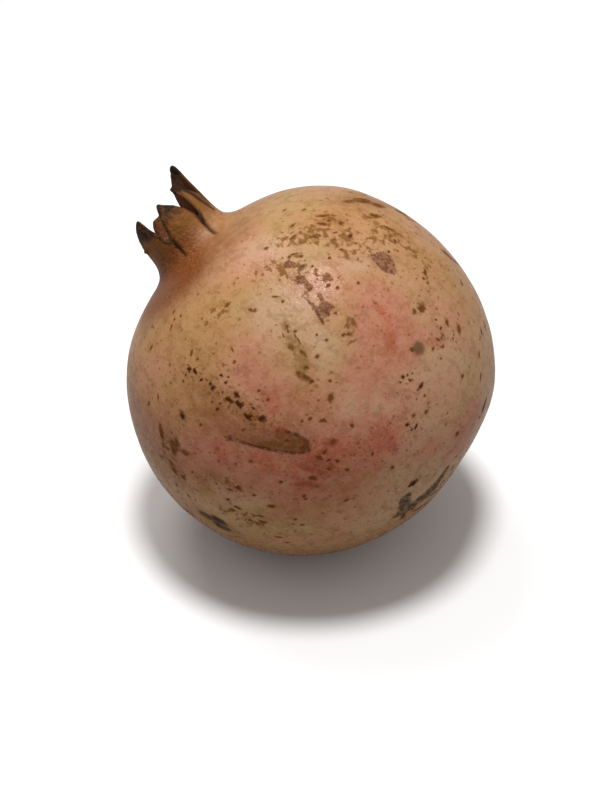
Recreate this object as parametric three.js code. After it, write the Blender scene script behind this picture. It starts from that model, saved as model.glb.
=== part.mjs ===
// A whole pomegranate, lying as it rests on a table. The leathery fruit narrows to a short neck
// and opens in a crown of six dry sepals. The dried stamens and the style stand in the cup
// between the sepals, and the short stub of the cut stalk sits at the opposite end.
//
// Millimetres, +Z up. The origin is the middle of the small flat spot that the fruit lies on.
// The fruit's own frame has its origin in the middle of the round body and its +Z axis through
// the crown. Longitude is counted round that axis, and latitude rises towards the crown.
import * as THREE from "three";

// How the fruit lies, in degrees: the crown axis leans over, swings round and the fruit rolls.
const CROWN_LEAN = 44.5;
const CROWN_SWING = 20.5;
const FRUIT_ROLL = -51.6;
const REST_HEIGHT = 44.9;
const REST_OFFSET = { x: 0.3, y: 0.2 };

// The round body: a near sphere, flatter at both ends.
const BODY_RADIUS = 46.4;
const CROWN_END = { flattening: 0.085, spread: 28.5 };
const STALK_END = { flattening: 0.048, spread: 34 };
const STALK_DIMPLE = { depth: 0.9, spread: 8 };

// Broad swellings and flat sides, as the fruit grew: place and spread in degrees.
const SWELLS = [
  { longitude: -87, latitude: -12, spread: 36, lift: 0.9 },
  { longitude: -100, latitude: 62, spread: 18, lift: -0.5 },
  { longitude: 92, latitude: 2, spread: 30, lift: -1.0 },
  { longitude: 60, latitude: -68, spread: 17, lift: -2.0 },
  { longitude: 80, latitude: -52, spread: 14, lift: 0.6 },
  { longitude: 90, latitude: 42, spread: 18, lift: 0.5 },
  { longitude: 180, latitude: 5, spread: 35, lift: -0.8 },
  { longitude: -150, latitude: -25, spread: 30, lift: 0.6 },
  { longitude: 140, latitude: -20, spread: 30, lift: 0.5 },
];

// The neck and the crown. Heights are above the middle of the body.
const CROWN_SHIFT = -0.7;
const NECK_RADIUS = 10.1;
const NECK_FOOT_LATITUDE = 68;
const NECK_FLARE = { width: 1.4, height: 43.2, fade: 1.4 };
const SEPAL_BASE_HEIGHT = 44.0;
const NOTCH_HEIGHT = 45.2;
const NOTCH_LONGITUDE = 37;
const WALL_AT_BASE = 2.4;
const WALL_AT_RIM = 0.7;
const CUP_FLOOR_HEIGHT = 43.2;

// Each sepal: height of its tip above the notches, how far the tip leans out from the neck's
// radius, how far it twists round the axis in degrees, how sharply it bends, the share of its
// length that is left where the dry tip has broken off, and how full its two edges are.
const SEPALS = [
  { rise: 12.2, lean: -3.8, twist: -17, bend: 2.5, left: 0.96, taper: [1.9, 1.9] },
  { rise: 16.5, lean: 0.2, twist: -15, bend: 3, left: 1, taper: [1.9, 4] },
  { rise: 11.2, lean: -1.0, twist: 8, bend: 3, left: 0.76, taper: [2.2, 2.2] },
  { rise: 10.4, lean: -1.6, twist: 4, bend: 3, left: 1, taper: [1.9, 1.9] },
  { rise: 12.7, lean: -2.0, twist: 2, bend: 4, left: 1, taper: [1.9, 1.9] },
  { rise: 12.5, lean: -2.8, twist: -9, bend: 3, left: 1, taper: [1.9, 1.9] },
];

// Stalk stub, style and stamens.
const STALK = { radius: 2.6, length: 1.8 };
const STYLE = { radius: 0.8, length: 6.4 };
const STAMEN = { radius: 0.3, anther: 0.6, length: 5.6 };
const STAMEN_RINGS = [
  { count: 14, radius: 6.0, start: 4, inward: 0.8 },
  { count: 10, radius: 3.9, start: 19, inward: 0.5 },
];
const FIT_GAP = 0.3;

const COLUMNS_PER_SEPAL = 12;
const FRUIT_COLUMNS = COLUMNS_PER_SEPAL * SEPALS.length;
const BODY_STEP = 5;
const SEPAL_STEPS = 8;
const radians = THREE.MathUtils.degToRad;
const lerp = THREE.MathUtils.lerp;

const rind = new THREE.MeshStandardMaterial({ color: 0xb98a62, roughness: 0.45, metalness: 0 });
const wood = new THREE.MeshStandardMaterial({ color: 0x6b5138, roughness: 0.85, metalness: 0 });
const dryFlower = new THREE.MeshStandardMaterial({ color: 0x8a6238, roughness: 0.8, metalness: 0 });

function polar(longitude, radius, height) {
  return new THREE.Vector3(radius * Math.cos(longitude), radius * Math.sin(longitude), height);
}

function direction(longitude, latitude) {
  return polar(longitude, Math.cos(latitude), Math.sin(latitude));
}

function bell(angle, spread) {
  return Math.exp(-((angle / spread) ** 2));
}

// A surface of revolution whose rows are functions of longitude, so that it need not stay round.
// The first and the last row are single points on the axis.
function latheOfRows(rows, columns) {
  const profile = rows.map((row) => {
    const point = row(0);
    return new THREE.Vector2(Math.hypot(point.x, point.y), point.z);
  });
  const geometry = new THREE.LatheGeometry(profile, columns);
  const position = geometry.attributes.position;
  for (let index = 0; index < position.count; index += 1) {
    const column = Math.floor(index / rows.length) % columns;
    const point = rows[index % rows.length]((2 * Math.PI * column) / columns);
    position.setXYZ(index, point.x, point.y, point.z);
  }
  geometry.deleteAttribute("uv");
  geometry.computeVertexNormals();
  return geometry;
}

// The same, for a plain round profile given as pairs of radius and height.
function latheOfProfile(profile, columns) {
  return latheOfRows(profile.map(([radius, height]) => (longitude) => polar(longitude, radius, height)), columns);
}

function bodyRadius(longitude, latitude) {
  const toCrown = 90 - THREE.MathUtils.radToDeg(latitude);
  const toStalk = 180 - toCrown;
  let radius = BODY_RADIUS;
  radius *= 1 - CROWN_END.flattening * bell(toCrown, CROWN_END.spread);
  radius *= 1 - STALK_END.flattening * bell(toStalk, STALK_END.spread);
  radius -= STALK_DIMPLE.depth * bell(toStalk, STALK_DIMPLE.spread);
  const here = direction(longitude, latitude);
  for (const swell of SWELLS) {
    const middle = direction(radians(swell.longitude), radians(swell.latitude));
    radius += swell.lift * bell(THREE.MathUtils.radToDeg(here.angleTo(middle)), swell.spread);
  }
  return radius;
}

function bodyPoint(longitude, latitude) {
  return direction(longitude, latitude).multiplyScalar(bodyRadius(longitude, latitude));
}

function bodyRows() {
  const rows = [() => new THREE.Vector3(0, 0, -bodyRadius(0, -Math.PI / 2))];
  for (let degrees = -90 + BODY_STEP; degrees < NECK_FOOT_LATITUDE; degrees += BODY_STEP) {
    rows.push((longitude) => bodyPoint(longitude, radians(degrees)));
  }
  return rows;
}

// The crown grew a little to one side of the body's axis.
function crownward(point) {
  point.y += CROWN_SHIFT;
  return point;
}

// The neck's outer radius at a height, widening downwards in a soft fillet.
function neckRadius(height) {
  return NECK_RADIUS + NECK_FLARE.width * Math.exp(-(height - NECK_FLARE.height) / NECK_FLARE.fade);
}

function neckRows() {
  const foot = direction(0, radians(NECK_FOOT_LATITUDE)).multiplyScalar(BODY_RADIUS * (1 - CROWN_END.flattening / 2));
  return [0, 0.22, 0.45, 0.7].map((share) => (longitude) => {
    const start = bodyPoint(longitude, radians(NECK_FOOT_LATITUDE));
    const excess = Math.hypot(start.x, start.y) - neckRadius(foot.z);
    const plainHeight = lerp(foot.z, SEPAL_BASE_HEIGHT, share);
    const radius = neckRadius(plainHeight) + excess * (1 - share);
    const point = polar(longitude, radius, lerp(start.z, SEPAL_BASE_HEIGHT, share));
    point.y += CROWN_SHIFT * share;
    return point;
  });
}

// The sepal at a longitude, and how far across it that longitude is, from -1 to 1.
function sepalAt(longitude) {
  const width = 360 / SEPALS.length;
  const fromNotch = THREE.MathUtils.euclideanModulo(THREE.MathUtils.radToDeg(longitude) - NOTCH_LONGITUDE, 360);
  const number = Math.floor(fromNotch / width + 1e-9) % SEPALS.length;
  return { sepal: SEPALS[number], across: (2 * (fromNotch - number * width)) / width - 1 };
}

function rimHeight(longitude) {
  const { sepal, across } = sepalAt(longitude);
  const taper = sepal.taper[across < 0 ? 0 : 1];
  const share = Math.max(0, 1 - Math.abs(across)) ** (1 / taper);
  return NOTCH_HEIGHT + sepal.rise * Math.min(share, sepal.left);
}

// A point of the crown: share runs from 0 at the sepals' base to 1 at the rim, and inset is the
// distance in from the outer face.
function crownPoint(longitude, share, inset) {
  const { sepal } = sepalAt(longitude);
  const height = lerp(SEPAL_BASE_HEIGHT, rimHeight(longitude), share);
  const along = Math.max(0, (height - NOTCH_HEIGHT) / sepal.rise);
  const bent = along ** sepal.bend;
  const radius = neckRadius(height) + sepal.lean * bent - inset;
  return crownward(polar(longitude + radians(sepal.twist) * bent, radius, height));
}

function wallThickness(share) {
  return lerp(WALL_AT_RIM, WALL_AT_BASE, (1 - share) ** 1.2);
}

function crownRows() {
  const shares = Array.from({ length: SEPAL_STEPS + 1 }, (_, step) => step / SEPAL_STEPS);
  const outside = shares.map((share) => (longitude) => crownPoint(longitude, share, 0));
  const inside = [...shares].reverse().map((share) => {
    return (longitude) => crownPoint(longitude, share, wallThickness(share));
  });
  return [...outside, ...inside];
}

function cupRows() {
  const wall = neckRadius(SEPAL_BASE_HEIGHT) - WALL_AT_BASE;
  const floor = [[0.88, 0.3], [0.62, 0.12], [0.32, 0.03], [0, 0]];
  return floor.map(([share, rise]) => {
    return (longitude) => crownward(polar(longitude, wall * share, CUP_FLOOR_HEIGHT + rise));
  });
}

// Where the fruit's own frame lies in the model.
function lyingFrame() {
  const frame = new THREE.Group();
  frame.rotation.set(0, radians(-CROWN_LEAN), radians(-CROWN_SWING), "ZYX");
  frame.position.set(REST_OFFSET.x, REST_OFFSET.y, REST_HEIGHT);
  const roll = new THREE.Group();
  roll.rotation.z = radians(FRUIT_ROLL);
  frame.add(roll);
  frame.updateMatrixWorld(true);
  return { frame, roll };
}

// The fruit is set down: what would reach below the table is pressed flat.
function makeFruit(lying) {
  const rows = [...bodyRows(), ...neckRows(), ...crownRows(), ...cupRows()];
  const geometry = latheOfRows(rows, FRUIT_COLUMNS);
  geometry.applyMatrix4(lying.matrixWorld);
  const position = geometry.attributes.position;
  for (let index = 0; index < position.count; index += 1) {
    position.setZ(index, Math.max(0, position.getZ(index)));
  }
  geometry.computeVertexNormals();
  const mesh = new THREE.Mesh(geometry, rind);
  mesh.name = "fruit";
  return mesh;
}

function makeStalk() {
  const { radius, length } = STALK;
  const profile = [[0, 0], [radius, 0], [radius * 0.92, length * 0.5], [radius, length * 0.85],
    [radius * 0.85, length], [radius * 0.4, length * 0.9], [0, length * 0.86]];
  const mesh = new THREE.Mesh(latheOfProfile(profile, 20), wood);
  mesh.name = "stalk_stub";
  mesh.rotation.x = Math.PI;
  mesh.position.z = -bodyRadius(0, -Math.PI / 2) - FIT_GAP - 0.1;
  return mesh;
}

function makeStyle() {
  const { radius, length } = STYLE;
  const profile = [[0, 0], [radius * 1.2, 0], [radius, length * 0.2], [radius * 0.7, length * 0.6],
    [radius * 0.7, length * 0.82], [radius * 1.3, length * 0.92], [radius, length], [0, length * 0.97]];
  const mesh = new THREE.Mesh(latheOfProfile(profile, 12), dryFlower);
  mesh.name = "style";
  mesh.position.copy(crownward(new THREE.Vector3(0, 0, CUP_FLOOR_HEIGHT + FIT_GAP)));
  return mesh;
}

// A filament that curls in towards the style and ends in a fat little anther.
function makeStamen(name, ring, turn, height) {
  const profile = [[0, 0], [STAMEN.radius, 0], [STAMEN.radius, 0.25], [STAMEN.radius, 0.5], [STAMEN.radius, 0.74],
    [STAMEN.anther, 0.82], [STAMEN.anther, 0.94], [0, 1]];
  const rows = profile.map(([radius, share]) => (longitude) => {
    const point = polar(longitude, radius, height * share);
    point.x -= ring.inward * share ** 2;
    return point;
  });
  const mesh = new THREE.Mesh(latheOfRows(rows, 6), dryFlower);
  mesh.name = name;
  mesh.rotation.z = turn;
  mesh.position.copy(crownward(polar(turn, ring.radius, CUP_FLOOR_HEIGHT + 2 * FIT_GAP)));
  return mesh;
}

function makeStamens() {
  const stamens = [];
  for (const ring of STAMEN_RINGS) {
    for (let step = 0; step < ring.count; step += 1) {
      const name = `stamen_${String(stamens.length + 1).padStart(2, "0")}`;
      const turn = radians(ring.start + (360 * step) / ring.count);
      const height = STAMEN.length + 0.6 * Math.sin(2.4 * stamens.length);
      stamens.push(makeStamen(name, ring, turn, height));
    }
  }
  return stamens;
}

const pomegranate = new THREE.Group();
const { frame, roll } = lyingFrame();
pomegranate.add(makeFruit(roll), frame);
roll.add(makeStalk(), makeStyle(), ...makeStamens());

export default pomegranate;
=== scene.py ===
import math
from functools import cached_property

import bmesh
import bpy
import numpy as np
from mathutils import Matrix, Vector, kdtree, noise


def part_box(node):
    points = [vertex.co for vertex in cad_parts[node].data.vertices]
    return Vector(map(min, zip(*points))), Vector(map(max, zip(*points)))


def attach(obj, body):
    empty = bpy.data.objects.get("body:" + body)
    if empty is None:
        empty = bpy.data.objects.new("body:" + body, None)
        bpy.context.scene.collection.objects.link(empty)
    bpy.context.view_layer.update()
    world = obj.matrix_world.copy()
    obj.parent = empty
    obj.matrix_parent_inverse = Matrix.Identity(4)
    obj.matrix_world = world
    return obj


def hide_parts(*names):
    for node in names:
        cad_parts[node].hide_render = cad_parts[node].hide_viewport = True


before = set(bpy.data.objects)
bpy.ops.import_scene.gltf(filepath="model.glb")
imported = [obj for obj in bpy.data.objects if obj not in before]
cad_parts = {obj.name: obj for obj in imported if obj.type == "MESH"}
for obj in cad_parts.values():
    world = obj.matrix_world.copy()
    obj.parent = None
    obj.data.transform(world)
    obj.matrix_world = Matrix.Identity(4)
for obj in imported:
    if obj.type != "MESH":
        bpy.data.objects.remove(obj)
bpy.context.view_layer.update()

MM = 0.001

# ---------------------------------------------------------------- the fruit's own frame
# Z runs from the stalk to the crown. Longitude 0 faces the camera and grows to the right,
# and latitude 90 is the crown.
CROWN_LEAN = math.radians(44.5)
CROWN_SWING = math.radians(20.5)
FRUIT_ROLL = math.radians(-51.6)
BODY_CENTRE = np.array((0.3, 0.2, 44.9))
BODY_RADIUS = 46.4
ATTITUDE = np.array(
    Matrix.Rotation(-CROWN_SWING, 3, "Z")
    @ Matrix.Rotation(-CROWN_LEAN, 3, "Y")
    @ Matrix.Rotation(FRUIT_ROLL, 3, "Z")
)

CROWN_SHIFT = -0.7
NECK_RADIUS = 10.5
CUP_FLOOR = 43.2
CUP_RADIUS = 7.4
NECK_FOOT = (38.0, 43.0)
SEPAL_BASE = 44.0
NOTCH_HEIGHT = 45.2
NOTCH_LONGITUDE = 37.0
SEPAL_COUNT = 6
STALK_RADIUS = 2.6
STALK_LENGTH = 1.8


def to_fruit(points):
    """Points of the row frame, in the fruit's own frame."""
    return (points - BODY_CENTRE) @ ATTITUDE


def from_fruit(points):
    """Points of the fruit's own frame, in the row frame."""
    return points @ ATTITUDE.T + BODY_CENTRE


def direction(longitude, latitude):
    """Unit vector towards a place on the fruit, angles in degrees."""
    around, up = math.radians(longitude), math.radians(latitude)
    return np.array(
        (math.cos(up) * math.cos(around), math.cos(up) * math.sin(around), math.sin(up))
    )


def towards(points):
    """Unit vectors from the middle of the fruit to each point."""
    return points / np.linalg.norm(points, axis=1)[:, None]


def smoothstep(value, low, high):
    share = np.clip((value - low) / (high - low), 0.0, 1.0)
    return share * share * (3.0 - 2.0 * share)


def near(points, place, reach):
    """1 at a place, falling to nothing beyond about twice the reach."""
    return np.exp(-((np.linalg.norm(points - place, axis=1) / reach) ** 2))


def unevenness(points, layers):
    """A sum of smooth noises, each given by its height, its size (one number or three), and a seed."""
    total = np.zeros(len(points))
    for height, size, seed in layers:
        scaled = points / np.asarray(size) + seed * 7.31
        total += height * np.array([noise.noise(Vector(point)) for point in scaled])
    return total


# ---------------------------------------------------------------- meshes as arrays
def read(items, name, kind=np.int32):
    """One property of all points, faces or face corners: a whole number, or a vector if `float`."""
    values = np.empty(len(items) * (3 if kind is float else 1), dtype=kind)
    items.foreach_get(name, values)
    return values.reshape(-1, 3) if kind is float else values


def search_tree(points):
    tree = kdtree.KDTree(len(points))
    for index, point in enumerate(points):
        tree.insert(Vector(point), index)
    tree.balance()
    return tree


def store(mesh, name, values, domain="POINT"):
    """Keeps an array on the mesh, one number or one vector for each point or face corner."""
    kind = "FLOAT" if values.ndim == 1 else "FLOAT_VECTOR"
    layer = mesh.attributes.new(name, kind, domain)
    layer.data.foreach_set("value" if values.ndim == 1 else "vector", values.ravel())


def add_object(name, data):
    thing = bpy.data.objects.new(name, data)
    bpy.context.scene.collection.objects.link(thing)
    return thing


def add_piece(name, mesh, slot, *nodes):
    """Puts a finished mesh in the scene as a piece that stands for the nodes named."""
    mesh.polygons.foreach_set("use_smooth", [True] * len(mesh.polygons))
    mesh.update()
    piece = add_object(name, mesh)
    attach(piece, "root")
    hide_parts(*nodes)
    return piece


# ---------------------------------------------------------------- the fruit's surface
REFINING_ROUNDS = 2
WELD_DISTANCE = 0.002
# The distances that stand for everything farther away.
FAR = 4.0
FAR_FROM_MARGIN = 9.0


def refined_mesh(node):
    """A node's mesh joined into quads and smoothed by Catmull-Clark subdivision."""
    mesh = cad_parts[node].data.copy()
    mesh.materials.clear()
    work = bmesh.new()
    work.from_mesh(mesh)
    bmesh.ops.remove_doubles(work, verts=work.verts, dist=WELD_DISTANCE * MM)
    bmesh.ops.join_triangles(
        work,
        faces=work.faces,
        angle_face_threshold=math.pi,
        angle_shape_threshold=math.pi,
        topology_influence=1.0,
    )
    work.to_mesh(mesh)
    work.free()
    holder = add_object(node, mesh)
    holder.modifiers.new("subdivision", "SUBSURF").levels = REFINING_ROUNDS
    graph = bpy.context.evaluated_depsgraph_get()
    result = bpy.data.meshes.new_from_object(holder.evaluated_get(graph))
    result.name = node
    bpy.data.objects.remove(holder)
    return result


def crown_longitude(points):
    return np.degrees(np.arctan2(points[:, 1] - CROWN_SHIFT, points[:, 0]))


def crown_layers(points, normals):
    """How far each point is up its sepal, how far from the sepal's margin, and if it is inside."""
    height = points[:, 2]
    away = points[:, :2] - (0.0, CROWN_SHIFT)
    radius = np.linalg.norm(away, axis=1)
    facing = (normals[:, :2] * away).sum(axis=1) / np.maximum(radius, 1e-6)
    above_floor = height > CUP_FLOOR - 1.0
    inside = above_floor & (radius < NECK_RADIUS + 3.5) & (facing < -0.15)
    floor = above_floor & (radius < CUP_RADIUS - 0.5) & (height < NOTCH_HEIGHT)
    high = height > SEPAL_BASE
    rim = search_tree(points[high & (np.abs(facing) < 0.35) & (radius > 4.5)])
    margin = np.full(len(points), FAR_FROM_MARGIN)
    for index in np.flatnonzero(high):
        margin[index] = rim.find(Vector(points[index]))[2]
    turned = (crown_longitude(points) - NOTCH_LONGITUDE) % 360.0
    sepal = (turned // (360.0 / SEPAL_COUNT)).astype(int)
    share = np.zeros(len(points))
    for number in range(SEPAL_COUNT):
        own = high & (sepal == number)
        share[own] = (height[own] - NOTCH_HEIGHT) / (height[own].max() - NOTCH_HEIGHT)
    return {
        "sepal": sepal,
        "share": np.clip(share, 0.0, 1.0),
        "margin": margin,
        "inside": (inside | floor).astype(float),
        "crease": crease_distance(points),
    }


# Noise layers: how high, how wide, and the seed.
RIND_SWELLS = ((0.22, 17.0, 1), (0.10, 7.0, 2), (0.035, 2.6, 3))
SEPAL_WRINKLES = ((0.10, (1.1, 1.1, 7.0), 4), (0.10, (2.6, 2.6, 5.0), 5))
TORN_EDGES = ((0.35, 1.3, 6), (0.35, 2.8, 7))
# The dry tips are thicker than the solid's, and shorter.
TIP_THICKENING = 0.22
TIP_LOSS = 0.45
CREASE_DEPTH = 0.45
CREASE_REACH = 0.45
# A torn scrap that sticks out of the left sepal's outer face.
SEPAL_NUB = {"place": (3.2, -10.2, 50.0), "reach": 0.7, "height": 0.85}
# Where the longest sepal's torn margin is bent: the place, how far the bend reaches, and how far
# the margin goes to the right there.
TORN_MARGIN = (
    ((-4.4, 7.6, 59.9), 0.9, -0.45),
    ((-5.2, 6.9, 58.4), 0.8, 0.55),
    ((-7.4, 4.9, 56.0), 0.7, -1.0),
)


def add_relief(points, normals, crown):
    """Moves the fruit's points by the unevenness of a real rind and by the wrinkles of dry sepals."""
    height, share = points[:, 2], crown["share"]
    above_floor = smoothstep(from_fruit(points)[:, 2], 0.6, 6.0)
    on_body = 1.0 - smoothstep(height, *NECK_FOOT)
    outwards = unevenness(points, RIND_SWELLS) * above_floor * on_body
    outwards += unevenness(points, SEPAL_WRINKLES) * smoothstep(height, 41.0, 47.0)
    outwards += TIP_THICKENING * smoothstep(share, 0.3, 0.95)
    in_crease = np.exp(-((np.maximum(crown["crease"], 0.0) / CREASE_REACH) ** 2))
    outwards -= CREASE_DEPTH * in_crease * (1.0 - smoothstep(height, 46.0, 47.5))
    outwards += SEPAL_NUB["height"] * near(points, SEPAL_NUB["place"], SEPAL_NUB["reach"])
    moved = points + normals * outwards[:, None]
    near_margin = 1.0 - smoothstep(crown["margin"], 0.0, 1.6)
    ragged = unevenness(points, TORN_EDGES) * near_margin * smoothstep(share, 0.0, 0.3)
    moved[:, 2] += np.minimum(ragged, 0.1) - TIP_LOSS * smoothstep(share, 0.75, 1.0)
    to_the_right = np.array((1.0, 0.0, 0.0)) @ ATTITUDE
    for place, reach, shift in TORN_MARGIN:
        moved += shift * near(points, place, reach)[:, None] * to_the_right
    return moved


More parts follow.
